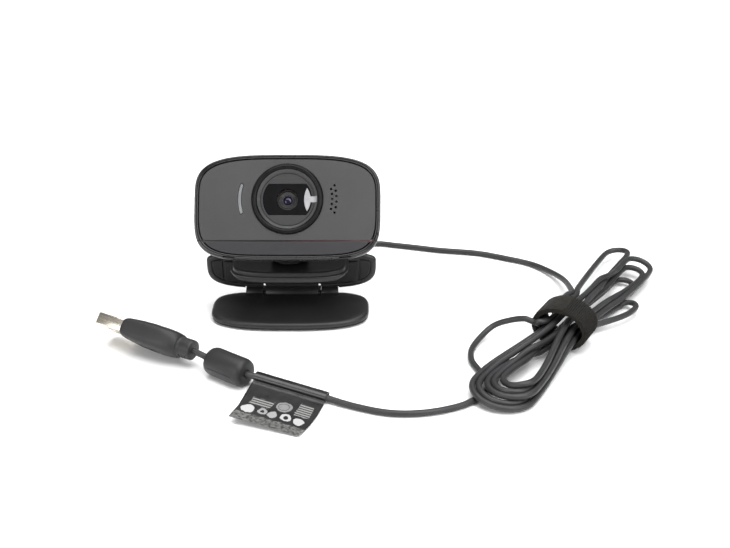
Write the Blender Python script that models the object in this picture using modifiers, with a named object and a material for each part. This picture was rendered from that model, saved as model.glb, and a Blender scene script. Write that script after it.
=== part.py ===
"""Compact desk webcam on a folding clip stand, with its USB cord, in metres, +Z up.

The stand's clip lies open on its foot leaf. The head sits on a swivel and tilt neck above
the clip's platform. Its origin is under the middle of the webcam, on the table.
"""

from math import atan2, cos, pi, radians, sin, tau

import bmesh
import bpy
from mathutils import Matrix, Vector

GAP = 0.0003  # the gap left between neighbouring pieces

# Head: an outline that bulges at the sides, higher below the lens than above it.
HEAD_HALF_WIDTH = 0.0349
HEAD_ABOVE = 0.0171
HEAD_BELOW = 0.0229
TOP_POWER = 3.5
BOTTOM_POWER = 4.7
REST_TILT = radians(34)
LENS_CENTRE = Vector((0, -0.0008, 0.048))
BEZEL_WIDTH = 0.0019
PLATE_THICKNESS = 0.0012
SEAM_BELOW_LENS = 0.0157
SEAM_HEIGHT = 0.0005
LENS_RING_RADIUS = 0.0134
RING_INNER_RADIUS = 0.0103
DISC_RADIUS = 0.0100
DISC_DEPTH = 0.0009
WINDOW_RADIUS = 0.0092
WINDOW_HALF_HEIGHT = 0.0059
LIGHT_RADIUS = 0.0179
LIGHT_WIDTH = 0.0011
MIC_HOLE_RADIUS = 0.0004
SCREW_X = 0.0170
SCREW_Z = -0.0062

# Neck: the tilt axis is behind the head's lower back, the swivel axis is on the platform.
TILT_AXIS_DEPTH = 0.0150
TILT_AXIS_DROP = 0.0165
KNUCKLE_RADIUS = 0.0020
KNUCKLE_HALF_LENGTH = 0.0045
EAR_WIDTH = 0.0025
TILT_PIN_RADIUS = 0.0010
SWIVEL_Y = 0.00385
TURNTABLE_RADIUS = 0.0070
RETAINER_RADIUS = 0.0028

# Clip: a platform on top of a rear wall with a wing at each side.
PLATFORM_TOP = 0.0215
PLATFORM_THICKNESS = 0.0022
PLATFORM_FRONT = -0.01085
PLATFORM_HALF_WIDTH = 0.0226
PLATFORM_POWER = 3.4
LIP_HEIGHT = 0.0043
LIP_DEPTH = 0.0035
WALL_FRONT = 0.00795
WALL_THICKNESS = 0.0028
WALL_HALF_WIDTH = 0.0335
WALL_BOTTOM = 0.0057
WALL_MIDDLE = 0.0172
WALL_POWER = 3.8
SLOT_BOTTOM = 0.0055
SLOT_TOP = 0.0088
PAD_THICKNESS = 0.0006
PAD_HALF_WIDTH = 0.0266

# Foot: a leaf that lies on the table and turns on a pin at the wall's lower edge.
FOOT_FRONT = -0.0172
FOOT_REAR = 0.0100
FOOT_HALF_WIDTH = 0.0306
FOOT_TOP = 0.0036
FOOT_RISE = 0.0009  # how much higher its top is at the rear
FOOT_UNDERSIDE = 0.0007
FOOT_POWER_REAR = 4.0
FOOT_POWER_FRONT = 2.7
SOLE_INSET = 0.0020
HINGE_Y = 0.00955
HINGE_Z = 0.0034
HINGE_RADIUS = 0.0030
HINGE_PIN_RADIUS = 0.0012
HINGE_BORE_RADIUS = 0.0015
INNER_KNUCKLE = (0.0046, 0.0104)
OUTER_KNUCKLE = (0.0116, 0.0184)

# Cord: it leaves the wall's back, lies on the table and is tied in a hank before its plug.
CORD_RADIUS = 0.00115
RELIEF_X = 0.008
RELIEF_Z = 0.012
RELIEF_LENGTH = 0.009
LEAD_ROUTE = [
    (0.0080, 0.0204, 0.0120), (0.0081, 0.0250, 0.0108), (0.0088, 0.0305, 0.0066),
    (0.0102, 0.0358, 0.0026), (0.0128, 0.0420, 0.0015), (0.0180, 0.0510, 0.0013),
    (0.0252, 0.0585, 0.0013), (0.0345, 0.0618, 0.0013), (0.0430, 0.0600, 0.0013),
    (0.0520, 0.0576, 0.0013), (0.0620, 0.0548, 0.0013), (0.0740, 0.0502, 0.0013),
    (0.0850, 0.0444, 0.0014), (0.0940, 0.0376, 0.0016), (0.1012, 0.0280, 0.0034),
    (0.1056, 0.0180, 0.0062), (0.1072, 0.0102, 0.0080), (0.1077, 0.0052, 0.0086),
]
LOOP_ROUTE = [
    (0.0921, -0.0259, 0.0060), (0.0896, -0.0206, 0.0050), (0.0864, -0.0160, 0.0036),
    (0.0822, -0.0134, 0.0020), (0.0772, -0.0140, 0.0013), (0.0724, -0.0188, 0.0013),
    (0.0694, -0.0260, 0.0013), (0.0680, -0.0335, 0.0013), (0.0678, -0.0400, 0.0013),
    (0.0688, -0.0462, 0.0013), (0.0713, -0.0516, 0.0013),
]
TAIL_ROUTE = [
    (0.0641, -0.0681, 0.0013), (0.0605, -0.0704, 0.0013), (0.0540, -0.0730, 0.0013),
    (0.0470, -0.0745, 0.0013), (0.0400, -0.0747, 0.0013), (0.0340, -0.0736, 0.0013),
    (0.0275, -0.0712, 0.0013), (0.0220, -0.0688, 0.0014), (0.0165, -0.0662, 0.0018),
    (0.0100, -0.0640, 0.0026), (0.0030, -0.0615, 0.0035), (-0.0045, -0.0589, 0.0044),
    (-0.0115, -0.0565, 0.0053),
]
FERRITE_RADIUS = 0.0051
FERRITE_LENGTH = 0.0168
END_LENGTH = 0.0070
LABEL_LENGTH = 0.0265
LABEL_WIDTH = 0.0226
HANK_HEIGHT = 0.0098
HANK_MIDDLE = [
    (0.0700, -0.0710), (0.0850, -0.0540), (0.1035, -0.0240), (0.1320, 0.0270), (0.1425, 0.0475),
]
HANK_HALF_WIDTHS = [0.0062, 0.0115, 0.0056, 0.0118, 0.0062]
TIE_CENTRE = Vector((0.1035, -0.0240, 0.0075))
TIE_WIDTH = 0.011
TIE_HALF_SPAN = 0.0098
TIE_HALF_RISE = 0.0075
TIE_THICKNESS = 0.0016
PLUG_HEADING = radians(151.6)
PLUG_BODY_LENGTH = 0.0286
SHELL_LENGTH = 0.0114
SHELL_WIDTH = 0.0120
SHELL_HEIGHT = 0.0045
PLUG_RISE = 0.035
PLUG_ROLL = radians(43)
FERRITE_HEADING = radians(144)
FERRITE_RISE = 0.0
END_HEADING = radians(152.5)
END_RISE = 0.24


def clear_scene():
    for old in list(bpy.data.objects):
        bpy.data.objects.remove(old)


def collection(name):
    made = bpy.data.collections.new(name)
    bpy.context.scene.collection.children.link(made)
    return made


def material(name, colour, roughness, metallic=0.0):
    made = bpy.data.materials.new(name)
    made.use_nodes = True
    shader = made.node_tree.nodes["Principled BSDF"]
    shader.inputs["Base Color"].default_value = (*colour, 1)
    shader.inputs["Roughness"].default_value = roughness
    shader.inputs["Metallic"].default_value = metallic
    return made


def add(name, data, look):
    """A new object in the webcam's collection."""
    made = bpy.data.objects.new(name, data)
    PARTS.objects.link(made)
    if look:
        data.materials.append(look)
    return made


def from_bmesh(name, shape, look):
    bmesh.ops.recalc_face_normals(shape, faces=shape.faces)
    mesh = bpy.data.meshes.new(name)
    shape.to_mesh(mesh)
    shape.free()
    mesh.shade_smooth()
    mesh.set_sharp_from_angle(angle=radians(35))
    return add(name, mesh, look)


def helper(name, shape):
    """A cutter or a body to join, which isn't a piece of the webcam."""
    made = from_bmesh(name, shape, None)
    PARTS.objects.unlink(made)
    CUTTERS.objects.link(made)
    made.hide_render = True
    made.display_type = "WIRE"
    return made


def box_shape(low, high):
    shape = bmesh.new()
    bmesh.ops.create_cube(shape, size=1)
    size = Vector(high) - Vector(low)
    middle = (Vector(high) + Vector(low)) / 2
    bmesh.ops.scale(shape, vec=size, verts=shape.verts)
    bmesh.ops.translate(shape, vec=middle, verts=shape.verts)
    return shape


def bar_shape(radius, start, end, segments=24):
    """A cylinder from one point to another."""
    start, end = Vector(start), Vector(end)
    turn = (end - start).to_track_quat("Z", "Y").to_matrix().to_4x4()
    place = Matrix.Translation((start + end) / 2) @ turn
    shape = bmesh.new()
    bmesh.ops.create_cone(
        shape, cap_ends=True, segments=segments, radius1=radius, radius2=radius,
        depth=(end - start).length, matrix=place,
    )
    return shape


def boolean(piece, other, operation):
    step = piece.modifiers.new(operation.lower(), "BOOLEAN")
    step.operation = operation
    step.object = other
    return other


def join(piece, name, shape):
    """Joins a shape on to a piece, and returns the helper that holds it."""
    return boolean(piece, helper(name, shape), "UNION")


def cut(piece, name, shape):
    """Cuts a shape out of a piece, and returns the helper that holds it."""
    return boolean(piece, helper(name, shape), "DIFFERENCE")


def loft_shape(rings):
    """A closed body through rings that have the same number of points."""
    shape = bmesh.new()
    rows = [[shape.verts.new(point) for point in ring] for ring in rings]
    shape.faces.new(rows[0])
    shape.faces.new(rows[-1])
    for row, following in zip(rows, rows[1:]):
        for i in range(len(row)):
            j = (i + 1) % len(row)
            shape.faces.new((row[i], row[j], following[j], following[i]))
    return shape


def turned(name, profile, look, closed=False, steps=40):
    """A profile of (radius, height) points, turned about the object's own Z axis."""
    shape = bmesh.new()
    points = [shape.verts.new((radius, 0, height)) for radius, height in profile]
    ends = list(zip(points, points[1:]))
    if closed:
        ends.append((points[-1], points[0]))
    for pair in ends:
        shape.edges.new(pair)
    mesh = bpy.data.meshes.new(name)
    shape.to_mesh(mesh)
    shape.free()
    made = add(name, mesh, look)
    screw = made.modifiers.new("turned", "SCREW")
    screw.steps = steps
    screw.render_steps = steps
    screw.use_merge_vertices = True
    screw.merge_threshold = 0.00001
    screw.use_smooth_shade = True
    return made


def flat_curve(name, outlines, thickness, look):
    """A plate in the object's own XY plane; every outline after the first is a hole."""
    data = bpy.data.curves.new(name, "CURVE")
    data.dimensions = "2D"
    data.fill_mode = "BOTH"
    data.extrude = thickness / 2
    for outline in outlines:
        spline = data.splines.new("POLY")
        spline.points.add(len(outline) - 1)
        for point, (x, y) in zip(spline.points, outline):
            point.co = (x, y, 0, 1)
        spline.use_cyclic_u = True
    return add(name, data, look)


def as_mesh(curve):
    """A mesh object in place of a curve object, so that it can take a Boolean."""
    bpy.context.view_layer.update()
    graph = bpy.context.evaluated_depsgraph_get()
    mesh = bpy.data.meshes.new_from_object(curve.evaluated_get(graph))
    shape = bmesh.new()
    shape.from_mesh(mesh)
    bmesh.ops.remove_doubles(shape, verts=shape.verts, dist=0.000002)
    bmesh.ops.recalc_face_normals(shape, faces=shape.faces)
    shape.to_mesh(mesh)
    shape.free()
    name, place = curve.name, curve.matrix_world.copy()
    bpy.data.objects.remove(curve)
    made = bpy.data.objects.new(name, mesh)
    PARTS.objects.link(made)
    made.matrix_world = place
    return made


def smooth_route(route, spacing):
    """Evenly spaced points on a smooth curve through the route's points."""
    points = [Vector(point) for point in route]
    padded = [2 * points[0] - points[1], *points, 2 * points[-1] - points[-2]]
    fine = []
    for before, start, end, after in zip(padded, padded[1:], padded[2:], padded[3:]):
        for step in range(20):
            t = step / 20
            fine.append(
                0.5 * (
                    2 * start + (end - before) * t
                    + (2 * before - 5 * start + 4 * end - after) * t * t
                    + (3 * start - before - 3 * end + after) * t * t * t
                )
            )
    fine.append(points[-1])
    length = sum((b - a).length for a, b in zip(fine, fine[1:]))
    count = max(2, round(length / spacing))
    placed, walked, target = [fine[0]], 0.0, length / count
    for a, b in zip(fine, fine[1:]):
        stretch = (b - a).length
        while len(placed) < count and walked + stretch >= target * len(placed):
            placed.append(a.lerp(b, (target * len(placed) - walked) / stretch))
        walked += stretch
    placed.append(fine[-1])
    return placed


def tube(name, points, radius, look):
    data = bpy.data.curves.new(name, "CURVE")
    data.dimensions = "3D"
    data.bevel_depth = radius
    data.bevel_resolution = 2
    data.use_fill_caps = True
    spline = data.splines.new("POLY")
    spline.points.add(len(points) - 1)
    for point, place in zip(spline.points, points):
        point.co = (*place, 1)
    return add(name, data, look)


def circle(radius, count=40, centre=(0.0, 0.0)):
    steps = [tau * i / count for i in range(count)]
    return [(centre[0] + radius * cos(a), centre[1] + radius * sin(a)) for a in steps]


def bulged(half_width, above, below, power_above, power_below, count=48):
    """A closed outline with bulging sides: a superellipse whose halves differ."""
    outline = []
    for i in range(count):
        angle = tau * (i + 0.5) / count
        rise, power = (above, power_above) if sin(angle) > 0 else (below, power_below)
        x = abs(cos(angle)) ** (2 / power) * half_width
        y = abs(sin(angle)) ** (2 / power) * rise
        outline.append((x if cos(angle) > 0 else -x, y if sin(angle) > 0 else -y))
    return outline


def head_outline(inset=0.0, inset_top=None, inset_bottom=None, count=48):
    return bulged(
        HEAD_HALF_WIDTH - inset,
        HEAD_ABOVE - (inset if inset_top is None else inset_top),
        HEAD_BELOW - (inset if inset_bottom is None else inset_bottom),
        TOP_POWER, BOTTOM_POWER, count,
    )


def clipped(outline, height, keep_above):
    """The part of a convex outline above or below a height, closed by a straight edge."""
    side = 1 if keep_above else -1
    kept = []
    for (x0, y0), (x1, y1) in zip(outline, outline[1:] + outline[:1]):
        inside, next_inside = side * (y0 - height) >= 0, side * (y1 - height) >= 0
        if inside:
            kept.append((x0, y0))
        if inside != next_inside:
            share = (height - y0) / (y1 - y0)
            kept.append((x0 + share * (x1 - x0), height))
    return kept


def in_head(piece, depth=0.0):
    """Hangs a piece on the tilt axis; its own Z axis then points out of the head's face."""
    piece.parent = HEAD_AXIS
    piece.location = (0, depth - TILT_AXIS_DEPTH, TILT_AXIS_DROP)
    piece.rotation_euler = (pi / 2, 0, 0)
    return piece


def shape_in_head(piece):
    """Hangs a piece on the tilt axis whose mesh is in (x, depth, height) about the lens."""
    piece.parent = HEAD_AXIS
    piece.location = (0, -TILT_AXIS_DEPTH, TILT_AXIS_DROP)
    return piece


def make_bezel():
    ring = flat_curve("front_bezel", [head_outline(), head_outline(BEZEL_WIDTH)], 0.0025, BLACK_GLOSS)
    return in_head(ring, 0.00075)


def mic_holes():
    """Eleven holes in two arcs about the lens."""
    holes = []
    for count, radius, spread in ((5, 0.0168, 13.1), (6, 0.0184, 16.4)):
        for i in range(count):
            angle = radians(spread * (2 * i / (count - 1) - 1))
            holes.append(circle(MIC_HOLE_RADIUS, 8, (radius * cos(angle), radius * sin(angle))))
    return holes


def arc_band(radius, width, half_angle, count=12):
    """A curved slot on the lens's left, with its radius about the lens."""
    angles = [pi + radians(half_angle) * (2 * i / count - 1) for i in range(count + 1)]
    outer = [((radius + width / 2) * cos(a), (radius + width / 2) * sin(a)) for a in angles]
    inner = [((radius - width / 2) * cos(a), (radius - width / 2) * sin(a)) for a in angles]
    return outer + inner[::-1]


def make_face():
    edge = head_outline(BEZEL_WIDTH + GAP)
    openings = [circle(LENS_RING_RADIUS + GAP), arc_band(LIGHT_RADIUS, LIGHT_WIDTH + 2 * GAP, 17.5)]
    plate = [clipped(edge, -SEAM_BELOW_LENS, True), *openings, *mic_holes()]
    in_head(flat_curve("face_plate", plate, PLATE_THICKNESS, GREY_SATIN), PLATE_THICKNESS / 2)
    chin = clipped(edge, -SEAM_BELOW_LENS - SEAM_HEIGHT, False)
    in_head(flat_curve("chin_strip", [chin], PLATE_THICKNESS, BLACK_GLOSS), PLATE_THICKNESS / 2)
    bar = arc_band(LIGHT_RADIUS, LIGHT_WIDTH, 16.5)
    in_head(flat_curve("light_pipe", [bar], 0.0016, CLEAR), 0.00075)


def make_rear_cover():
    """A hollow moulding lofted through outlines that shrink towards its back."""
    # (depth, inset at the sides, at the top, at the bottom)
    sections = [
        (0.0023, 0.0003, 0.0003, 0.0003), (0.0045, 0.0003, 0.0003, 0.0004),
        (0.0080, 0.0012, 0.0012, 0.0016), (0.0110, 0.0034, 0.0028, 0.0047),
        (0.0132, 0.0068, 0.0052, 0.0087), (0.0144, 0.0112, 0.0086, 0.0126),
    ]
    wall = 0.0015
    outer = [(d, head_outline(s, t, b)) for d, s, t, b in sections]
    inner = [
        (min(d, sections[-1][0] - wall), head_outline(s + wall, t + wall, b + wall))
        for d, s, t, b in sections
    ]
    inner[-1] = (sections[-1][0] - wall, head_outline(0.0126, 0.0100, 0.0140))
    inner[-2] = (sections[-2][0] - wall, inner[-2][1])
    rings = [[(x, depth, z) for x, z in outline] for depth, outline in outer[::-1] + inner]
    cover = shape_in_head(from_bmesh("rear_cover", loft_shape(rings), BLACK_GLOSS))
    reach = KNUCKLE_HALF_LENGTH
    axis = Vector((0, TILT_AXIS_DEPTH, -TILT_AXIS_DROP))
    along_pin = Vector((1, 0, 0))
    web = box_shape((-reach, 0.0112, -0.0180), (reach, TILT_AXIS_DEPTH, -0.0148))
    knuckle = bar_shape(KNUCKLE_RADIUS, axis - reach * along_pin, axis + reach * along_pin)
    bore = bar_shape(TILT_PIN_RADIUS + GAP, axis - 2 * reach * along_pin, axis + 2 * reach * along_pin)
    shape_in_head(join(cover, "tilt_web", web))
    shape_in_head(join(cover, "tilt_knuckle", knuckle))
    shape_in_head(cut(cover, "tilt_bore", bore))
    for x in (-SCREW_X, SCREW_X):
        well = bar_shape(0.0016, (x, 0.010, SCREW_Z), (x, 0.020, SCREW_Z), 20)
        shape_in_head(cut(cover, "screw_bore", well))


def make_head_screws():
    profile = [
        (0, 0.0142), (0.0013, 0.0140), (0.0013, 0.0130), (0.0008, 0.0130), (0.0008, 0.0030), (0, 0.0025),
    ]
    for side, x in (("left", -SCREW_X), ("right", SCREW_X)):
        screw = turned(f"head_screw_{side}", profile, STEEL, steps=16)
        in_head(screw)
        screw.rotation_euler = (-pi / 2, 0, 0)
        screw.location += Vector((x, 0, SCREW_Z))


def make_lens_front():
    """A raised ring whose inner side slopes down to a sunk disc, window and film tab."""
    r = LENS_RING_RADIUS
    profile = [
        (RING_INNER_RADIUS, -0.0008), (r - 0.0022, 0.0005), (r - 0.0014, 0.0012), (r - 0.0004, 0.0011),
        (r, 0.0007), (r, -0.0020), (RING_INNER_RADIUS, -0.0020),
    ]
    in_head(turned("lens_ring", profile, BLACK_GLOSS, closed=True))
    window = chord_disc(WINDOW_RADIUS + GAP, WINDOW_HALF_HEIGHT + GAP)
    disc = flat_curve("lens_surround", [circle(DISC_RADIUS), window], 0.0010, GREY_SATIN)
    in_head(disc, DISC_DEPTH + 0.0005)
    glass = flat_curve("lens_window", [chord_disc(WINDOW_RADIUS, WINDOW_HALF_HEIGHT)], 0.0006, BLACK_GLOSS)
    in_head(glass, DISC_DEPTH + 0.0004)
    tab = [
        (0.0063, 0.0045), (0.0072, 0.0034), (0.0078, 0.0016), (0.0080, 0.0009), (0.0099, 0.0009),
        (0.0099, -0.0013), (0.0080, -0.0013), (0.0077, -0.0022), (0.0071, -0.0036), (0.0063, -0.0045),
        (0.0059, -0.0020), (0.0058, 0.0010), (0.0059, 0.0028),
    ]
    in_head(flat_curve("film_tab", [tab], 0.0002, WHITE), DISC_DEPTH - 0.0002)


def chord_disc(radius, half_height, steps=10):
    """A disc cut off straight above and below."""
    limit = atan2(half_height, (radius**2 - half_height**2) ** 0.5)
    right = [limit * (2 * i / steps - 1) for i in range(steps + 1)]
    angles = right + [pi + a for a in right]
    return [(radius * cos(a), radius * sin(a)) for a in angles]


def make_focus_carriage():
    """The lens barrel and its coil, which slide together in the fixed magnet yoke."""
    barrel = [
        (0.0018, -0.0030), (0.0024, -0.0025), (0.0037, -0.0025), (0.0037, -0.0080),
        (0.0026, -0.0080), (0.0018, -0.0070),
    ]
    in_head(turned("lens_barrel", barrel, BLACK_SATIN, closed=True, steps=32))
    front = [(0, -0.0030), (0.0008, -0.0032), (0.0015, -0.0036), (0.0015, -0.0048), (0, -0.0048)]
    in_head(turned("lens_glass", front, CLEAR, steps=24))
    coil = [(0.0040, -0.0042), (0.0049, -0.0042), (0.0049, -0.0068), (0.0040, -0.0068)]
    in_head(turned("focus_coil", coil, COPPER, closed=True, steps=24))
    yoke = [(0.0053, -0.0034), (0.0071, -0.0034), (0.0071, -0.0076), (0.0053, -0.0076)]
    in_head(turned("focus_magnet", yoke, STEEL, closed=True, steps=24))


def make_head_insides():
    """The board, its sensor and light, and the microphone in its rubber boot."""
    plain = [
        ("main_board", (-0.0145, 0.0103, -0.0095), (0.0145, 0.0113, 0.0085), GREEN),
        ("image_sensor", (-0.0033, 0.0091, -0.0029), (0.0033, 0.0100, 0.0029), BLACK_GLOSS),
        ("usb_chip", (0.0048, 0.0091, -0.0060), (0.0108, 0.0100, 0.0), BLACK_SATIN),
        ("status_light", (-0.0189, 0.0019, -0.0010), (-0.0169, 0.0029, 0.0010), WHITE),
    ]
    for name, low, high, look in plain:
        shape_in_head(from_bmesh(name, box_shape(low, high), look))
    centre_x = 0.0176
    capsule = bar_shape(0.0020, (centre_x, 0.0020, 0.0), (centre_x, 0.0038, 0.0))
    shape_in_head(from_bmesh("microphone", capsule, STEEL))
    boot = [(0.0023, -0.0015), (0.0032, -0.0015), (0.0032, -0.0040), (0.0023, -0.0040)]
    ring = in_head(turned("microphone_boot", boot, RUBBER, closed=True, steps=24))
    ring.location.x = centre_x


def make_neck():
    """A turntable with two ears that hold the tilt pin, bolted to the platform."""
    axis = HEAD_AXIS.location
    disc_low, disc_high = PLATFORM_TOP + GAP, PLATFORM_TOP + 0.0016
    disc = bar_shape(TURNTABLE_RADIUS, (0, SWIVEL_Y, disc_low), (0, SWIVEL_Y, disc_high), 40)
    turntable = from_bmesh("turntable", disc, BLACK_SATIN)
    near, far = KNUCKLE_HALF_LENGTH + GAP, KNUCKLE_HALF_LENGTH + GAP + EAR_WIDTH
    for side in (-1, 1):
        low_x, high_x = sorted((side * near, side * far))
        stem_low = (low_x + 0.0001, axis.y - KNUCKLE_RADIUS + 0.0001, disc_high - 0.0004)
        stem = box_shape(stem_low, (high_x - 0.0001, axis.y + 0.0012, axis.z + 0.0002))
        join(turntable, "ear_stem", stem)
        top = bar_shape(KNUCKLE_RADIUS, (low_x, axis.y, axis.z), (high_x, axis.y, axis.z))
        join(turntable, "ear_top", top)
    bore = bar_shape(TILT_PIN_RADIUS + GAP, (-0.01, axis.y, axis.z), (0.01, axis.y, axis.z), 20)
    cut(turntable, "ear_bore", bore)
    hole = bar_shape(0.0018, (0, SWIVEL_Y, disc_low - 0.001), (0, SWIVEL_Y, disc_high + 0.001), 24)
    cut(turntable, "swivel_hole", hole)
    sink = bar_shape(0.0031, (0, SWIVEL_Y, disc_high - 0.0007), (0, SWIVEL_Y, disc_high + 0.001), 32)
    cut(turntable, "bolt_sink", sink)
    pin = bar_shape(TILT_PIN_RADIUS, (-far, axis.y, axis.z), (far, axis.y, axis.z), 20)
    from_bmesh("tilt_pin", pin, STEEL)
    under = PLATFORM_TOP - PLATFORM_THICKNESS
    bolt = [
        (0, disc_high + 0.0002), (0.0028, disc_high + 0.0001), (0.0028, disc_high - 0.0004),
        (0.0014, disc_high - 0.0004), (0.0014, under - 0.0010), (0, under - 0.0010),
    ]
    turned("swivel_bolt", bolt, STEEL, steps=24).location = (0, SWIVEL_Y, 0)
    ring_low, ring_high = under - 0.0009, under - GAP
    r = RETAINER_RADIUS
    circlip = [(0.0017, ring_high), (r, ring_high), (r, ring_low), (0.0017, ring_low)]
    turned("retaining_ring", circlip, STEEL, closed=True, steps=24).location = (0, SWIVEL_Y, 0)


def platform_outline(inset=0.0):
    middle = (PLATFORM_FRONT + WALL_FRONT) / 2 + 0.002
    reach = middle - PLATFORM_FRONT - inset
    half = bulged(PLATFORM_HALF_WIDTH - inset, WALL_FRONT + 0.0005 - middle, reach, 40, PLATFORM_POWER, 40)
    return [(x, middle + y) for x, y in half]


def wall_outline(inset=0.0):
    above, below = PLATFORM_TOP - WALL_MIDDLE, WALL_MIDDLE - WALL_BOTTOM
    outline = bulged(WALL_HALF_WIDTH - inset, above - inset, below - inset, WALL_POWER, WALL_POWER)
    return [(x, WALL_MIDDLE + z) for x, z in outline]


def upright(curve, y):
    """Stands a flat curve up across the webcam, its thickness centred on y."""
    curve.rotation_euler = (pi / 2, 0, 0)
    curve.location = (0, y, 0)
    return curve


def flat(curve, z):
    curve.location = (0, 0, z)
    return curve


def plate_of(name, outline, low, high, look):
    """A level plate from one height to another, ready to take a Boolean."""
    return as_mesh(flat(flat_curve(name, [outline], high - low, look), (low + high) / 2))


def make_clip():
    """The wall with the platform, its lip and the hinge's inner knuckles joined on."""
    wall_curve = flat_curve("clip_body", [wall_outline()], WALL_THICKNESS, BLACK_SATIN)
    wall = as_mesh(upright(wall_curve, WALL_FRONT + WALL_THICKNESS / 2))
    platform_low = PLATFORM_TOP - PLATFORM_THICKNESS
    lip_edge = clipped(platform_outline(0.00005), PLATFORM_FRONT + LIP_DEPTH, False)
    platform = plate_of("platform", platform_outline(), platform_low, PLATFORM_TOP, None)
    lip = plate_of("lip", lip_edge, PLATFORM_TOP - LIP_HEIGHT, platform_low + GAP, None)
    for piece in (platform, lip):
        PARTS.objects.unlink(piece)
        CUTTERS.objects.link(piece)
        piece.hide_render = True
        piece.display_type = "WIRE"
        boolean(wall, piece, "UNION")
    for side in (-1, 1):
        low_x, high_x = sorted((side * INNER_KNUCKLE[0], side * INNER_KNUCKLE[1]))
        web_high = (high_x, HINGE_Y + 0.001, WALL_BOTTOM + 0.0023)
        join(wall, "hinge_web", box_shape((low_x, WALL_FRONT + 0.0002, HINGE_Z), web_high))
        knuckle = bar_shape(HINGE_RADIUS, (low_x, HINGE_Y, HINGE_Z), (high_x, HINGE_Y, HINGE_Z))
        join(wall, "hinge_knuckle", knuckle)
        low_x, high_x = sorted((side * INNER_KNUCKLE[1], side * OUTER_KNUCKLE[0]))
        cut(wall, "slot", box_shape((low_x, 0, SLOT_BOTTOM), (high_x, 0.02, SLOT_TOP)))
        low_x, high_x = sorted((side * (OUTER_KNUCKLE[0] - 0.0001), side * (OUTER_KNUCKLE[1] + GAP)))
        relief_high = (high_x, 0.02, HINGE_Z + HINGE_RADIUS + 0.0005)
        cut(wall, "relief", box_shape((low_x, 0, 0.004), relief_high))
    room_x = INNER_KNUCKLE[0]
    cut(wall, "spring_room", bar_shape(0.0030, (-room_x, HINGE_Y, HINGE_Z), (room_x, HINGE_Y, HINGE_Z)))
    bore = bar_shape(HINGE_BORE_RADIUS, (-0.02, HINGE_Y, HINGE_Z), (0.02, HINGE_Y, HINGE_Z), 20)
    cut(wall, "hinge_bore", bore)
    hole = bar_shape(0.0018, (0, SWIVEL_Y, PLATFORM_TOP - 0.004), (0, SWIVEL_Y, PLATFORM_TOP + 0.001), 24)
    cut(wall, "bolt_hole", hole)
    wall.data.materials.clear()
    wall.data.materials.append(BLACK_SATIN)


def make_clip_pads():
    """Rubber pads on the clip's inner faces: one across the wall, one in each wing, one above."""
    depth = WALL_FRONT - GAP - PAD_THICKNESS / 2
    low, high = HINGE_Z + HINGE_RADIUS + 0.0029, PLATFORM_TOP - LIP_HEIGHT - GAP
    waist = (low + high) / 2
    reach = PAD_HALF_WIDTH
    centre = [(-reach, low), (reach, low), (reach, high), (-reach, high)]
    upright(flat_curve("wall_pad", [centre], PAD_THICKNESS, RUBBER), depth)
    for side, name in ((-1, "wing_pad_left"), (1, "wing_pad_right")):
        start = PAD_HALF_WIDTH + 0.0008
        end = WALL_HALF_WIDTH - 0.0022
        wing = [(side * start, low), (side * (end - 0.0012), low + 0.0012), (side * end, waist),
                (side * (end - 0.0012), high - 0.0012), (side * start, high)]
        upright(flat_curve(name, [wing], PAD_THICKNESS, RUBBER), depth)
    plate_z = PLATFORM_TOP - PLATFORM_THICKNESS - GAP - PAD_THICKNESS / 2
    edge = clipped(platform_outline(0.0012), PLATFORM_FRONT + LIP_DEPTH + GAP, True)
    ring_room = circle(RETAINER_RADIUS + 2 * GAP, 28, (0.0, SWIVEL_Y))
    pad = clipped(edge, WALL_FRONT - GAP, False)
    flat(flat_curve("platform_pad", [pad, ring_room], PAD_THICKNESS, RUBBER), plate_z)


def foot_outline(inset=0.0):
    middle = (FOOT_FRONT + FOOT_REAR) / 2
    half = (FOOT_REAR - FOOT_FRONT) / 2 - inset
    outline = bulged(FOOT_HALF_WIDTH - inset, half, half, FOOT_POWER_REAR, FOOT_POWER_FRONT)
    return [(x, middle + y) for x, y in outline]


def make_foot():
    """A leaf that thickens towards the hinge, with the hinge's outer knuckles and a sole below."""
    outline = foot_outline()
    slope = FOOT_RISE / (FOOT_REAR - FOOT_FRONT)
    under = [(x, y, FOOT_UNDERSIDE) for x, y in outline]
    over = [(x, y, FOOT_TOP + slope * (y - FOOT_FRONT)) for x, y in outline]
    leaf = from_bmesh("foot_leaf", loft_shape([under, over]), BLACK_SATIN)
    clearance = HINGE_RADIUS + 0.0005
    notch_half = INNER_KNUCKLE[1] + 2 * GAP
    notch = box_shape((-notch_half, HINGE_Y - clearance, -0.001), (notch_half, 0.02, 0.006))
    cut(leaf, "notch", notch)
    for side in (-1, 1):
        low_x, high_x = sorted((side * OUTER_KNUCKLE[0], side * OUTER_KNUCKLE[1]))
        web = box_shape((low_x, FOOT_REAR - 0.004, FOOT_UNDERSIDE), (high_x, HINGE_Y, FOOT_TOP + 0.0008))
        join(leaf, "foot_web", web)
        radius = HINGE_RADIUS - 0.0003
        knuckle = bar_shape(radius, (low_x, HINGE_Y, HINGE_Z), (high_x, HINGE_Y, HINGE_Z))
        join(leaf, "foot_knuckle", knuckle)
    bore = bar_shape(HINGE_BORE_RADIUS, (-0.02, HINGE_Y, HINGE_Z), (0.02, HINGE_Y, HINGE_Z), 20)
    cut(leaf, "foot_bore", bore)
    sole_thickness = FOOT_UNDERSIDE - GAP
    sole = clipped(foot_outline(SOLE_INSET), HINGE_Y - clearance, False)
    flat(flat_curve("foot_sole", [sole], sole_thickness, RUBBER), sole_thickness / 2)


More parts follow.
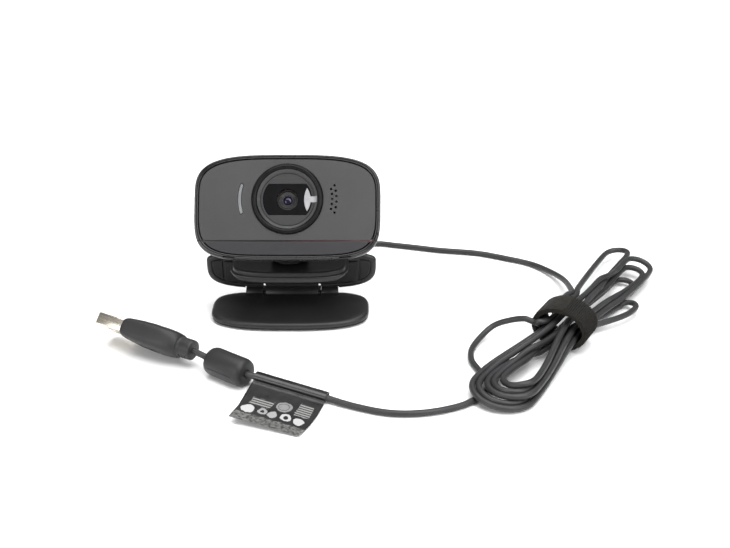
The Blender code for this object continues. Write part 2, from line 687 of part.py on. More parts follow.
def make_hinge():
    far = OUTER_KNUCKLE[1]
    pin = bar_shape(HINGE_PIN_RADIUS, (-far, HINGE_Y, HINGE_Z), (far, HINGE_Y, HINGE_Z), 20)
    from_bmesh("foot_hinge_pin", pin, STEEL)
    turns, per_turn, pitch, reach = 6, 10, 0.0012, 0.0020
    total = turns * per_turn
    points = []
    for i in range(total + 1):
        angle = tau * i / per_turn
        x = pitch * turns * (i / total - 0.5)
        points.append((x, HINGE_Y + reach * cos(angle), HINGE_Z + reach * sin(angle)))
    tube("clip_spring", points, 0.00035, STEEL)


def make_strain_relief():
    start = WALL_FRONT + WALL_THICKNESS + GAP
    profile = [
        (0, RELIEF_LENGTH), (0.0016, RELIEF_LENGTH), (0.0024, 0.0012), (0.0032, 0.0010), (0.0032, 0), (0, 0),
    ]
    relief = turned("strain_relief", profile, RUBBER, steps=24)
    relief.rotation_euler = (-pi / 2, 0, 0)
    relief.location = (RELIEF_X, start, RELIEF_Z)


def hank_outline():
    """A bow tie round the hank's middle line, with round ends."""
    middle = smooth_route([(x, y, 0) for x, y in HANK_MIDDLE], 0.008)
    lengths = [0.0]
    for a, b in zip(HANK_MIDDLE, HANK_MIDDLE[1:]):
        lengths.append(lengths[-1] + (Vector(b) - Vector(a)).length)
    left, right = [], []
    for i, point in enumerate(middle):
        share = lengths[-1] * i / (len(middle) - 1)
        k = max(j for j in range(len(lengths) - 1) if share >= lengths[j] - 1e-9)
        t = (share - lengths[k]) / (lengths[k + 1] - lengths[k])
        t = t * t * (3 - 2 * t)
        half = HANK_HALF_WIDTHS[k] * (1 - t) + HANK_HALF_WIDTHS[k + 1] * t
        ahead = middle[min(i + 1, len(middle) - 1)] - middle[max(i - 1, 0)]
        across = Vector((-ahead.y, ahead.x, 0)).normalized() * half
        left.append(point + across)
        right.append(point - across)
    first = (middle[0] - middle[1]).normalized() * HANK_HALF_WIDTHS[0] * 0.6
    last = (middle[-1] - middle[-2]).normalized() * HANK_HALF_WIDTHS[-1] * 0.6
    outline = [*left, middle[-1] + last, *right[::-1], middle[0] + first]
    return [(point.x, point.y) for point in outline]


def make_hank():
    hank = as_mesh(flat(flat_curve("hank", [hank_outline()], HANK_HEIGHT, CORD_BLACK), HANK_HEIGHT / 2))
    ahead = Vector(HANK_MIDDLE[3]) - Vector(HANK_MIDDLE[1])
    turn = Matrix.Rotation(atan2(ahead.y, ahead.x), 4, "Z")
    half = TIE_WIDTH / 2 + GAP
    room = box_shape((-half, -0.02, -0.001), (half, 0.02, TIE_CENTRE.z - 0.0036))
    cut(hank, "tie_room", room).matrix_world = Matrix.Translation((TIE_CENTRE.x, TIE_CENTRE.y, 0)) @ turn
    outer = [(TIE_HALF_SPAN * x, TIE_HALF_RISE * y) for x, y in circle(1.0, 36)]
    inner_span, inner_rise = TIE_HALF_SPAN - TIE_THICKNESS, TIE_HALF_RISE - TIE_THICKNESS
    inner = [(inner_span * x, inner_rise * y) for x, y in circle(1.0, 36)]
    tie = flat_curve("cord_tie", [outer, inner], TIE_WIDTH, TIE_BROWN)
    stand_up = Matrix(((0, 0, 1), (1, 0, 0), (0, 1, 0))).to_4x4()
    tie.matrix_world = Matrix.Translation(TIE_CENTRE) @ turn @ stand_up


def heading(angle, rise):
    return Vector((cos(angle), sin(angle), rise)).normalized()


def along(piece, start, direction):
    """Points a piece's own Z axis along a direction from a start."""
    turn = Vector(direction).to_track_quat("Z", "Y").to_matrix().to_4x4()
    piece.matrix_world = Matrix.Translation(start) @ turn
    return piece


def make_cord():
    spacing = 5 * CORD_RADIUS
    tube("cord_lead", smooth_route(LEAD_ROUTE, spacing), CORD_RADIUS, CORD_BLACK)
    tube("cord_side_loop", smooth_route(LOOP_ROUTE, spacing), CORD_RADIUS, CORD_BLACK)
    tail = smooth_route(TAIL_ROUTE, spacing)
    tube("cord_tail", tail, CORD_RADIUS, CORD_BLACK)
    ahead = heading(FERRITE_HEADING, FERRITE_RISE)
    r, length = FERRITE_RADIUS, FERRITE_LENGTH
    profile = [
        (0, length), (r * 0.5, length), (r * 0.85, length - 0.0012), (r, length - 0.0034),
        (r, 0.0034), (r * 0.85, 0.0012), (r * 0.5, 0), (0, 0),
    ]
    start = tail[-1] + ahead * GAP
    along(turned("ferrite_bead", profile, CORD_BLACK, steps=28), start, ahead)
    end_start = start + ahead * (length + GAP)
    end_stop = end_start + heading(END_HEADING, END_RISE) * END_LENGTH
    tube("cord_end", [end_start, end_start.lerp(end_stop, 0.5), end_stop], CORD_RADIUS, CORD_BLACK)
    return end_stop


def make_label():
    """A flag label folded round the tail's straight end, its leaf towards the front."""
    start, stop = Vector(TAIL_ROUTE[8]), Vector(TAIL_ROUTE[12])
    ahead = (stop - start).normalized()
    across = Vector((-ahead.y, ahead.x, 0)).normalized()
    up = ahead.cross(across)
    inner, outer = CORD_RADIUS + 0.00035, CORD_RADIUS + 0.00075
    angles = [radians(25 + 300 * i / 12) for i in range(13)]
    section = [(outer * cos(a), outer * sin(a)) for a in angles]
    section += [(LABEL_WIDTH, -0.00145), (LABEL_WIDTH, -0.00095)]
    section += [(inner * cos(a), inner * sin(a)) for a in angles[::-1]]
    label = flat_curve("cord_label", [section], LABEL_LENGTH, BLACK_GLOSS)
    turn = Matrix((across, up, ahead)).transposed().to_4x4()
    label.matrix_world = Matrix.Translation((start + stop) / 2) @ turn


def make_plug(start):
    """An overmould that widens from a collar, then a steel shell with its insert."""
    ahead = heading(PLUG_HEADING, PLUG_RISE)
    side = Vector((-ahead.y, ahead.x, 0)).normalized()
    turn = Matrix((side, ahead.cross(side), ahead)).transposed().to_4x4()
    place = Matrix.Translation(start + ahead * GAP) @ turn @ Matrix.Rotation(PLUG_ROLL, 4, "Z")
    # (distance, half width, half height, corner power)
    sections = [
        (0.0, 0.0031, 0.0031, 2.0), (0.0040, 0.0037, 0.0036, 2.0), (0.0058, 0.0043, 0.0041, 2.3),
        (0.0080, 0.0054, 0.0045, 2.8), (0.0130, 0.0063, 0.0047, 3.3), (0.0190, 0.0067, 0.0046, 3.8),
        (0.0250, 0.0067, 0.0041, 4.0), (PLUG_BODY_LENGTH, 0.0063, 0.0034, 4.0),
    ]
    rings = []
    for distance, half_width, half_height, power in sections:
        outline = bulged(half_width, half_height, half_height, power, power, 28)
        rings.append([(x, y, distance) for x, y in outline])
    from_bmesh("plug_overmould", loft_shape(rings), CORD_BLACK).matrix_world = place
    low = PLUG_BODY_LENGTH + GAP
    half_w, half_h, wall = SHELL_WIDTH / 2, SHELL_HEIGHT / 2, 0.0003
    shell_box = box_shape((-half_w, -half_h, low), (half_w, half_h, low + SHELL_LENGTH))
    shell = from_bmesh("plug_shell", shell_box, STEEL)
    shell.matrix_world = place
    far = low + SHELL_LENGTH + 0.001
    tools = [box_shape((-half_w + wall, -half_h + wall, low + 0.001), (half_w - wall, half_h - wall, far))]
    for x in (-0.0032, 0.0032):
        window_low = (x - 0.0011, -half_h - 0.001, low + 0.0052)
        tools.append(box_shape(window_low, (x + 0.0011, half_h + 0.001, low + 0.0073)))
    for number, tool in enumerate(tools):
        cut(shell, f"shell_room_{number}", tool).matrix_world = place
    insert = box_shape(
        (-half_w + wall + GAP, -half_h + wall + GAP, low + 0.001 + GAP),
        (half_w - wall - GAP, -half_h + wall + GAP + 0.0018, low + SHELL_LENGTH - 0.0006),
    )
    from_bmesh("plug_insert", insert, WHITE).matrix_world = place


clear_scene()
PARTS = collection("webcam_on_clip_stand")
CUTTERS = collection("cutters")
BLACK_GLOSS = material("black_gloss", (0.020, 0.020, 0.021), 0.22)
BLACK_SATIN = material("black_satin", (0.018, 0.018, 0.018), 0.42)
GREY_SATIN = material("grey_satin", (0.085, 0.085, 0.088), 0.45)
CORD_BLACK = material("cord_black", (0.045, 0.046, 0.048), 0.5)
TIE_BROWN = material("tie_brown", (0.040, 0.036, 0.030), 0.85)
RUBBER = material("rubber", (0.015, 0.015, 0.015), 0.7)
CLEAR = material("clear_plastic", (0.45, 0.46, 0.47), 0.15)
WHITE = material("white_plastic", (0.62, 0.62, 0.62), 0.4)
STEEL = material("steel", (0.60, 0.57, 0.52), 0.3, 1.0)
COPPER = material("copper", (0.55, 0.22, 0.10), 0.4, 1.0)
GREEN = material("board_green", (0.02, 0.12, 0.05), 0.5)

HEAD_AXIS = bpy.data.objects.new("head_axis", None)
PARTS.objects.link(HEAD_AXIS)
head_turn = Matrix.Rotation(-REST_TILT, 4, "X")
HEAD_AXIS.location = LENS_CENTRE + head_turn @ Vector((0, TILT_AXIS_DEPTH, -TILT_AXIS_DROP))
HEAD_AXIS.rotation_euler = (-REST_TILT, 0, 0)

make_rear_cover()
make_bezel()
make_face()
make_head_screws()
make_lens_front()
make_focus_carriage()
make_head_insides()
make_neck()
make_clip()
make_clip_pads()
make_foot()
make_hinge()
make_strain_relief()
make_hank()
make_label()
make_plug(make_cord())
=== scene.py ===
"""The looks of a compact webcam on its folding clip stand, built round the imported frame, in metres."""

from math import atan2, cos, exp, pi, radians, sin, tau

import bmesh
import bpy
import numpy as np
from mathutils import Matrix, Vector


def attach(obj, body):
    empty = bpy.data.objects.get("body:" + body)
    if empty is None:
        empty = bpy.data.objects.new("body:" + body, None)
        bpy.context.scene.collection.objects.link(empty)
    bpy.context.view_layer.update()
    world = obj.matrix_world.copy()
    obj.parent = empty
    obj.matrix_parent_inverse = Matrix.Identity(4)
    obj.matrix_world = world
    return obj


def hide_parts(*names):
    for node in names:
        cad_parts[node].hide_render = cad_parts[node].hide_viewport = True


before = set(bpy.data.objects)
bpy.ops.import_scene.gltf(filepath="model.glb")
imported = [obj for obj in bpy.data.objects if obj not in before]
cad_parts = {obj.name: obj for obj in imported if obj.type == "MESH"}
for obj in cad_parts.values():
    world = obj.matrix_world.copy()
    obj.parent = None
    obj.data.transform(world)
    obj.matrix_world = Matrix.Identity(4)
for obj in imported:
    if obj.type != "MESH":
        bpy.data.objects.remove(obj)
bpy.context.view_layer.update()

# Head: the same outline and places as the CAD's, about the lens's centre on the face.
HEAD_HALF_WIDTH = 0.0350
HEAD_ABOVE = 0.0172
HEAD_BELOW = 0.0232
TOP_POWER = 3.5
BOTTOM_POWER = 4.7
REST_TILT = radians(34)
LENS_CENTRE = Vector((0, -0.0008, 0.048))
BEZEL_WIDTH = 0.0019
SEAM_BELOW_LENS = 0.0157
SEAM_HEIGHT = 0.0005
LENS_RING_RADIUS = 0.0134
BAND_INNER_RADIUS = 0.0113
RING_INNER_RADIUS = 0.0103
DISC_RADIUS = 0.0102
DISC_DEPTH = 0.0009
WINDOW_RADIUS = 0.0092
WINDOW_HALF_HEIGHT = 0.0059
BARREL_RADIUS = 0.0039
LIGHT_RADIUS = 0.0179
LIGHT_WIDTH = 0.0011
MIC_HOLE_RADIUS = 0.00046
SCREW_X = 0.0170
SCREW_Z = -0.0062
TILT_AXIS_DEPTH = 0.0150
TILT_AXIS_DROP = 0.0165
KNUCKLE_RADIUS = 0.0020
KNUCKLE_HALF_LENGTH = 0.0045
EAR_WIDTH = 0.0025
TILT_PIN_RADIUS = 0.0010
GAP = 0.0003

# Meshes: edges sharper than an angle in degrees are shaded as edges.
SHARP_ANGLE = 32
SHARP_PLATE_ANGLE = 14
WELD_DISTANCE = 0.000001

# Stand
SWIVEL_Y = 0.00385
TURNTABLE_RADIUS = 0.0070
PLATFORM_TOP = 0.0215
PLATFORM_THICKNESS = 0.0022
PLATFORM_FRONT = -0.01085
PLATFORM_HALF_WIDTH = 0.0227
PLATFORM_POWER = 3.4
LIP_HEIGHT = 0.0043
LIP_DEPTH = 0.0035
LIP_SOFTNESS = 0.0008
LEDGE_HEIGHT = 0.0030
WALL_FRONT = 0.00795
WALL_THICKNESS = 0.0028
WALL_HALF_WIDTH = 0.0335
WALL_BOTTOM = 0.0057
WALL_MIDDLE = 0.0172
WALL_POWER = 3.8
SLOT_BOTTOM = 0.0055
SLOT_TOP = 0.0088
PAD_HALF_WIDTH = 0.0262
PAD_SPLIT = 0.0009
FOOT_FRONT = -0.0172
FOOT_REAR = 0.0100
FOOT_HALF_WIDTH = 0.0306
FOOT_TOP = 0.0036
FOOT_RISE = 0.0009
FOOT_UNDERSIDE = 0.0007
FOOT_POWER_REAR = 4.0
FOOT_POWER_FRONT = 2.7
HINGE_Y = 0.00955
HINGE_Z = 0.0034
HINGE_RADIUS = 0.0030
HINGE_BORE_RADIUS = 0.0015
INNER_KNUCKLE = (0.0046, 0.0104)
OUTER_KNUCKLE = (0.0116, 0.0184)

# Cord
CORD_RADIUS = 0.00115
CORD_SPACING = 0.0012
RELIEF_X = 0.008
RELIEF_Z = 0.012
RELIEF_LENGTH = 0.009
LEAD_ROUTE = [
    (0.0080, 0.0204, 0.0120), (0.0081, 0.0250, 0.0108), (0.0088, 0.0305, 0.0066),
    (0.0102, 0.0358, 0.0026), (0.0128, 0.0420, 0.0015), (0.0180, 0.0510, 0.0013),
    (0.0252, 0.0585, 0.0013), (0.0345, 0.0618, 0.0013), (0.0430, 0.0600, 0.0013),
    (0.0520, 0.0576, 0.0013), (0.0620, 0.0548, 0.0013), (0.0780, 0.0517, 0.0013),
    (0.0892, 0.0468, 0.0013), (0.1000, 0.0408, 0.0013), (0.1066, 0.0321, 0.0020),
    (0.1100, 0.0224, 0.0036), (0.1107, 0.0115, 0.0060), (0.1098, -0.0003, 0.0084),
]
LOOP_ROUTE = [
    (0.0883, -0.0247, 0.0100), (0.0823, -0.0219, 0.0076), (0.0772, -0.0205, 0.0046),
    (0.0723, -0.0249, 0.0024), (0.0684, -0.0321, 0.0014), (0.0675, -0.0396, 0.0013),
    (0.0689, -0.0453, 0.0013), (0.0713, -0.0516, 0.0013), (0.0716, -0.0570, 0.0013),
    (0.0693, -0.0632, 0.0013),
]
TAIL_ROUTE = [
    (0.0641, -0.0681, 0.0013), (0.0605, -0.0704, 0.0013), (0.0540, -0.0730, 0.0013),
    (0.0470, -0.0745, 0.0013), (0.0400, -0.0747, 0.0013), (0.0340, -0.0736, 0.0013),
    (0.0275, -0.0712, 0.0013), (0.0220, -0.0688, 0.0014), (0.0165, -0.0662, 0.0018),
    (0.0100, -0.0640, 0.0026), (0.0030, -0.0615, 0.0035), (-0.0045, -0.0589, 0.0044),
    (-0.0115, -0.0565, 0.0053),
]
FERRITE_RADIUS = 0.0051
FERRITE_LENGTH = 0.0168
FERRITE_HEADING = radians(144)
FERRITE_RISE = 0.0
END_LENGTH = 0.0070
END_HEADING = radians(152.5)
END_RISE = 0.24
LABEL_LENGTH = 0.0265
LABEL_WIDTH = 0.0226
LABEL_SHIFT = -0.0012
TIE_CENTRE = Vector((0.1031, -0.0247, 0.0082))
TIE_HEADING = radians(59.5)
TIE_WIDTH = 0.0128
TIE_HALF_SPAN = 0.0104
TIE_HALF_RISE = 0.0081
TIE_THICKNESS = 0.0016
PLUG_HEADING = radians(151.6)
PLUG_RISE = 0.035
PLUG_ROLL = radians(43)
PLUG_BODY_LENGTH = 0.0286
SHELL_LENGTH = 0.0114
SHELL_WIDTH = 0.0120
SHELL_HEIGHT = 0.0045

# Camera: its sensor and focal length in millimetres, for an image 730 wide, and its elevation in degrees.
SENSOR_WIDTH = 36
FOCAL_LENGTH = SENSOR_WIDTH * 1070 / 730
CAMERA_PLACE = (0.0291, -0.3733, 0.1984)
CAMERA_ELEVATION = 26

# Frames: in HEAD, Y goes into the face and Z up it; in FACING, Z points out of the face.
HEAD = Matrix.Translation(LENS_CENTRE) @ Matrix.Rotation(-REST_TILT, 4, "X")
FACING = HEAD @ Matrix.Rotation(pi / 2, 4, "X")
WORLD = Matrix.Identity(4)


# ---------------------------------------------------------------- materials

# The colour sockets of a Mix node, which shares their names with other types
MIX_UNDER, MIX_OVER, MIX_RESULT = 6, 7, 2
# The positions of the dark and the light stop in a mottled tone
DARK_STOP, LIGHT_STOP = 0.3, 0.7


def shaded(colour, factor):
    return tuple(min(1.0, part * factor) for part in colour)


class Look:
    """A material in the making, with the noises, ramps and bumps that feed its shader."""

    def __init__(self, name, roughness, specular=0.5, metallic=0.0, **inputs):
        self.material = bpy.data.materials.new(name)
        self.material.use_nodes = True
        self.tree = self.material.node_tree
        self.shader = self.tree.nodes["Principled BSDF"]
        inputs.update(Roughness=roughness, Specular_IOR_Level=specular, Metallic=metallic)
        self.feed(self.shader, **inputs)
        self.place = self.node("ShaderNodeTexCoord").outputs["Object"]

    def join(self, value, socket):
        """Links another node's output to a socket, or puts a plain value on it."""
        if isinstance(value, bpy.types.NodeSocket):
            self.tree.links.new(value, socket)
        else:
            socket.default_value = value

    def feed(self, node, **inputs):
        """Joins a value or an output to each named socket; an underscore stands for a space."""
        for name, value in inputs.items():
            self.join(value, node.inputs[name.replace("_", " ")])

    def node(self, kind, **inputs):
        made = self.tree.nodes.new(kind)
        self.feed(made, **inputs)
        return made

    def stretched(self, scale):
        """The place, stretched for a grain with a direction."""
        return self.node("ShaderNodeMapping", Scale=scale, Vector=self.place).outputs["Vector"]

    def noise(self, size, detail=2.0, place=None):
        """Cloudy noise whose spots are about size metres across."""
        made = self.node("ShaderNodeTexNoise", Scale=1 / size, Detail=detail, Vector=place or self.place)
        return made.outputs["Fac"]

    def ramp(self, value, stops):
        """A colour ramp; a stop is (position, grey level or colour)."""
        made = self.node("ShaderNodeValToRGB", Fac=value)
        for element, (position, tone) in zip(made.color_ramp.elements, stops):
            element.position = position
            element.color = (*tone, 1) if isinstance(tone, tuple) else (tone, tone, tone, 1)
        return made.outputs["Color"]

    def mottled(self, colour, size, detail, dark, light, place=None):
        """A colour that wanders between dark and light times itself."""
        stops = [(DARK_STOP, shaded(colour, dark)), (LIGHT_STOP, shaded(colour, light))]
        return self.ramp(self.noise(size, detail, place), stops)

    def specks(self, size, detail, start, full, strength):
        """0 where the noise is below start, rising to strength where it reaches full."""
        return self.ramp(self.noise(size, detail), [(start, 0.0), (full, strength)])

    def blended(self, share, under, over):
        """under and over mixed by share; over may be a colour."""
        made = self.node("ShaderNodeMix")
        made.data_type = "RGBA"
        self.join(share, made.inputs["Factor"])
        self.join(under, made.inputs[MIX_UNDER])
        self.join((*over, 1) if isinstance(over, tuple) else over, made.inputs[MIX_OVER])
        return made.outputs[MIX_RESULT]

    def combined(self, operation, first, second):
        made = self.node("ShaderNodeMath")
        made.operation = operation
        self.join(first, made.inputs[0])
        self.join(second, made.inputs[1])
        return made.outputs[0]

    def between(self, value, low, high):
        """1 where low < value < high, and 0 elsewhere."""
        above = self.combined("GREATER_THAN", value, low)
        return self.combined("MULTIPLY", above, self.combined("LESS_THAN", value, high))

    def ranged(self, value, low, high):
        """A 0 to 1 value spread over low to high."""
        return self.node("ShaderNodeMapRange", Value=value, To_Min=low, To_Max=high).outputs["Result"]

    def roughened(self, size, detail, low, high, place=None):
        """Lets the shader's roughness wander between low and high."""
        self.feed(self.shader, Roughness=self.ranged(self.noise(size, detail, place), low, high))

    def bumped(self, height, depth, below=None):
        """Bumps on the shader, over the bumps below if there are any."""
        made = self.node("ShaderNodeBump", Height=height, Distance=depth, Strength=1.0)
        if below:
            self.feed(made, Normal=below)
        self.feed(self.shader, Normal=made.outputs["Normal"])
        return made.outputs["Normal"]

    def painted(self, tone):
        self.feed(self.shader, Base_Color=tone)
        return self.material


def moulded(name, colour, roughness, specular, grain, depth, drift, wear, dust):
    """Moulded plastic: spark-eroded grain, a slight drift of tone, worn edges and a little dust."""
    look = Look(name, roughness, specular)
    tone = look.mottled(colour, 0.012, 4, 1 - drift, 1 + drift)
    corner = look.node("ShaderNodeNewGeometry").outputs["Pointiness"]
    worn = look.ramp(corner, [(0.52, 0.0), (0.62, wear)])
    patchy = look.combined("MULTIPLY", worn, look.noise(0.003, 3))
    tone = look.blended(patchy, tone, shaded(colour, 4.0))
    if dust:
        tone = look.blended(look.specks(0.0006, 1, 0.70, 0.78, dust), tone, (0.22, 0.21, 0.19))
    look.roughened(0.0025, 4, roughness - 0.06, roughness + 0.07)
    look.bumped(look.noise(grain), depth)
    return look.painted(tone)


def glossy(name, colour, roughness, coat, specular=0.28):
    """Polished black plastic with faint smears and hairline scratches."""
    look = Look(name, roughness, specular, Coat_Weight=coat, Coat_Roughness=0.05)
    look.roughened(0.004, 5, roughness * 0.6, roughness * 1.7)
    look.bumped(look.noise(0.0016, 3, look.stretched((1, 14, 9))), 0.0000012)
    return look.painted(look.mottled(colour, 0.008, 3, 0.8, 1.25))


def face_paint():
    """The face plate's soft grey lacquer: a very fine pearl in a smooth clear coat."""
    look = Look("face_paint", 0.44, 0.22, Coat_Weight=0.06, Coat_Roughness=0.35)
    grey = look.mottled((0.043, 0.042, 0.043), 0.020, 3, 0.93, 1.07)
    pearl = look.specks(0.00016, 1, 0.55, 0.75, 0.22)
    look.roughened(0.0015, 3, 0.36, 0.48)
    look.bumped(look.noise(0.00022), 0.000006)
    return look.painted(look.blended(pearl, grey, (0.14, 0.14, 0.145)))


def cord_jacket():
    """Soft PVC: satin, slightly wavy along its length, with faint rub marks."""
    look = Look("cord_jacket", 0.44, 0.3)
    grey = look.mottled((0.026, 0.026, 0.027), 0.010, 4, 0.82, 1.2)
    rubbed = look.specks(0.0022, 4, 0.60, 0.80, 0.25)
    look.roughened(0.003, 3, 0.34, 0.52)
    wavy = look.bumped(look.noise(0.006), 0.00012)
    look.bumped(look.noise(0.00025), 0.000008, wavy)
    return look.painted(look.blended(rubbed, grey, (0.075, 0.075, 0.075)))


def tie_weave():
    """Hook and loop strap: a matt brownish grey with a fuzzy pile."""
    look = Look("tie_weave", 0.88, 0.12, Sheen_Weight=0.05, Sheen_Roughness=0.5)
    brown = look.mottled((0.013, 0.012, 0.010), 0.0016, 5, 0.7, 1.35)
    lint = look.specks(0.00035, 2, 0.66, 0.80, 0.5)
    pile = look.bumped(look.noise(0.00030, 3), 0.00012)
    look.bumped(look.noise(0.0012), 0.00015, pile)
    return look.painted(look.blended(lint, brown, (0.035, 0.032, 0.027)))


def metal(name, colour, roughness, stretch=(1, 1, 1), tarnish=0.25):
    """Metal with a rolled grain, slight tarnish and handling marks."""
    look = Look(name, roughness, metallic=1.0)
    place = look.stretched(stretch)
    base = look.mottled(colour, 0.002, 3, 0.9, 1.06, place)
    spots = look.specks(0.0035, 5, 0.45, 0.75, tarnish)
    look.roughened(0.0008, 4, roughness - 0.08, roughness + 0.12, place)
    look.bumped(look.noise(0.0004, 3, place), 0.000006)
    return look.painted(look.blended(spots, base, shaded(colour, 0.55)))


def coated_glass(name, colour, film_thickness, roughness=0.03, coat=0.2, specular=0.2):
    """Lens glass, black behind, with a thin anti-reflection film, in nanometres."""
    film = {"Thin_Film_Thickness": film_thickness, "Thin_Film_IOR": 1.38}
    look = Look(name, roughness, specular, Coat_Weight=coat, Coat_Roughness=0.02, **film)
    look.roughened(0.0015, 5, roughness, roughness * 3)
    return look.painted(look.mottled(colour, 0.004, 3, 0.8, 1.2))


def milky(name, colour, roughness):
    """A pale translucent moulding or film, a little uneven."""
    look = Look(name, roughness, Subsurface_Weight=0.15, Subsurface_Radius=(0.0008, 0.0008, 0.0008))
    look.roughened(0.001, 3, roughness - 0.08, roughness + 0.1)
    look.bumped(look.noise(0.0006), 0.00001)
    return look.painted(look.mottled(colour, 0.0018, 4, 0.86, 1.1))


def board_mask():
    """Green solder mask with paler tracks under it."""
    look = Look("board_mask", 0.35)
    cells = look.node(
        "ShaderNodeTexBrick", Vector=look.place, Scale=420, Mortar_Size=0.06,
        Color1=(0.015, 0.10, 0.045, 1), Color2=(0.020, 0.13, 0.055, 1), Mortar=(0.06, 0.24, 0.10, 1),
    )
    look.roughened(0.002, 3, 0.28, 0.45)
    look.bumped(cells.outputs["Fac"], 0.00003)
    return look.painted(cells.outputs["Color"])


def wound_copper():
    """Enamelled wire wound round and round, layer by layer, its copper painted darker towards the grooves
    between turns as shade.
    """
    look = Look("wound_copper", 0.35, metallic=1.0)
    wraps = look.node("ShaderNodeTexWave", Vector=look.place, Scale=1500, Distortion=0.6)
    wraps.bands_direction = "Z"
    look.bumped(wraps.outputs["Fac"], 0.00008)
    # The colour follows the turns' bumps: the darker copper down in the grooves between turns is painted
    # shade.
    stops = [(0.0, (0.30, 0.10, 0.04)), (1.0, (0.72, 0.32, 0.14))]
    return look.painted(look.ramp(wraps.outputs["Fac"], stops))


def spot(look, across, lengthwise, x, z, radius, width):
    """1 inside a disc, or inside a ring if it has a width, and 0 elsewhere."""
    offsets = [look.combined("SUBTRACT", across, x), look.combined("SUBTRACT", lengthwise, z)]
    squares = [look.combined("MULTIPLY", offset, offset) for offset in offsets]
    distance = look.combined("POWER", look.combined("ADD", *squares), 0.5)
    return look.between(distance, radius - width if width else -1.0, radius)


def label_print():
    """A black flag label with plain round and hatched marks, which stand for its print."""
    look = Look("label_print", 0.28)
    split = look.node("ShaderNodeSeparateXYZ", Vector=look.place)
    stray = 0.0009
    wobble = look.ranged(look.noise(0.0022), -stray, stray)
    drift = look.ranged(look.noise(0.0026, 2, look.stretched((1, 1, 1.3))), -stray, stray)
    across = look.combined("ADD", split.outputs["X"], wobble)
    lengthwise = look.combined("ADD", split.outputs["Z"], drift)
    hatch = look.node("ShaderNodeTexWave", Vector=look.place, Scale=260, Distortion=3.0, Detail_Scale=250)
    hatch.bands_direction = "X"
    stripes = look.ramp(hatch.outputs["Fac"], [(0.35, 0.0), (0.60, 1.0)])
    tone = look.ramp(look.noise(0.006, 3), [(DARK_STOP, 0.010), (LIGHT_STOP, 0.018)])
    # (low across, high across, low lengthwise, high lengthwise)
    patches = [(0.0094, 0.0136, 0.0004, 0.0082), (0.0058, 0.0126, -0.0130, -0.0078)]
    for low_x, high_x, low_z, high_z in patches:
        within = look.between(across, low_x, high_x), look.between(lengthwise, low_z, high_z)
        hatched = look.combined("MULTIPLY", look.combined("MULTIPLY", *within), stripes)
        tone = look.blended(look.combined("MULTIPLY", hatched, 0.6), tone, (0.42, 0.42, 0.41))
    # (centre across, centre lengthwise, radius, ring width or 0, grey)
    marks = [
        (0.0104, -0.0034, 0.0028, 0.0, 0.20), (0.0104, -0.0034, 0.0020, 0.0004, 0.09),
        (0.0162, 0.0073, 0.0022, 0.0, 0.42), (0.0156, 0.0022, 0.0017, 0.0010, 0.26),
        (0.0160, -0.0014, 0.0016, 0.0, 0.28), (0.0156, -0.0062, 0.0020, 0.0010, 0.40),
        (0.0158, -0.0108, 0.0019, 0.0, 0.40),
    ]
    for *mark, grey in marks:
        tone = look.blended(spot(look, across, lengthwise, *mark), tone, (grey, grey, grey))
    strip = look.combined("MULTIPLY", look.between(across, 0.0188, 0.0240), 0.55)
    lettering = look.noise(0.0011, 3, look.stretched((1.6, 1, 1)))
    words = look.ramp(lettering, [(0.40, (0.05, 0.05, 0.048)), (0.60, (0.26, 0.26, 0.25))])
    look.roughened(0.003, 3, 0.22, 0.38)
    look.bumped(look.noise(0.005, 3), 0.00015)
    return look.painted(look.blended(strip, tone, words))


def seam_tint():
    """The seam's strip: black at its left, tinted dark red towards its right."""
    look = Look("seam_tint", 0.30, 0.4)
    split = look.node("ShaderNodeSeparateXYZ", Vector=look.place)
    along_seam = look.node("ShaderNodeMapRange", Value=split.outputs["X"], From_Min=-0.005, From_Max=0.012)
    look.roughened(0.002, 3, 0.24, 0.38)
    black, dark_red = (0.004, 0.004, 0.004), (0.034, 0.003, 0.006)
    return look.painted(look.ramp(along_seam.outputs["Result"], [(0.0, black), (1.0, dark_red)]))


GLOSS = glossy("gloss_black", (0.008, 0.008, 0.0085), 0.24, 0.02, 0.08)
RIM = glossy("rim_black", (0.017, 0.017, 0.018), 0.26, 0.12)
FACE = face_paint()
MAROON = seam_tint()
WINDOW = coated_glass("window_glass", (0.004, 0.004, 0.0045), 0, 0.24, 0.0, 0.05)
LENS = coated_glass("lens_coating", (0.010, 0.009, 0.016), 420)
LIGHT = milky("light_pipe", (0.15, 0.155, 0.16), 0.32)
FILM = milky("film_white", (0.27, 0.27, 0.28), 0.45)
INSERT = milky("insert_white", (0.55, 0.55, 0.54), 0.45)
CORD = cord_jacket()
TIE = tie_weave()
LABEL = label_print()
STEEL = metal("steel_plain", (0.58, 0.57, 0.55), 0.30)
SHELL = metal("shell_nickel", (0.76, 0.70, 0.60), 0.26, (1, 1, 0.12), 0.15)
COPPER = wound_copper()
BOARD = board_mask()

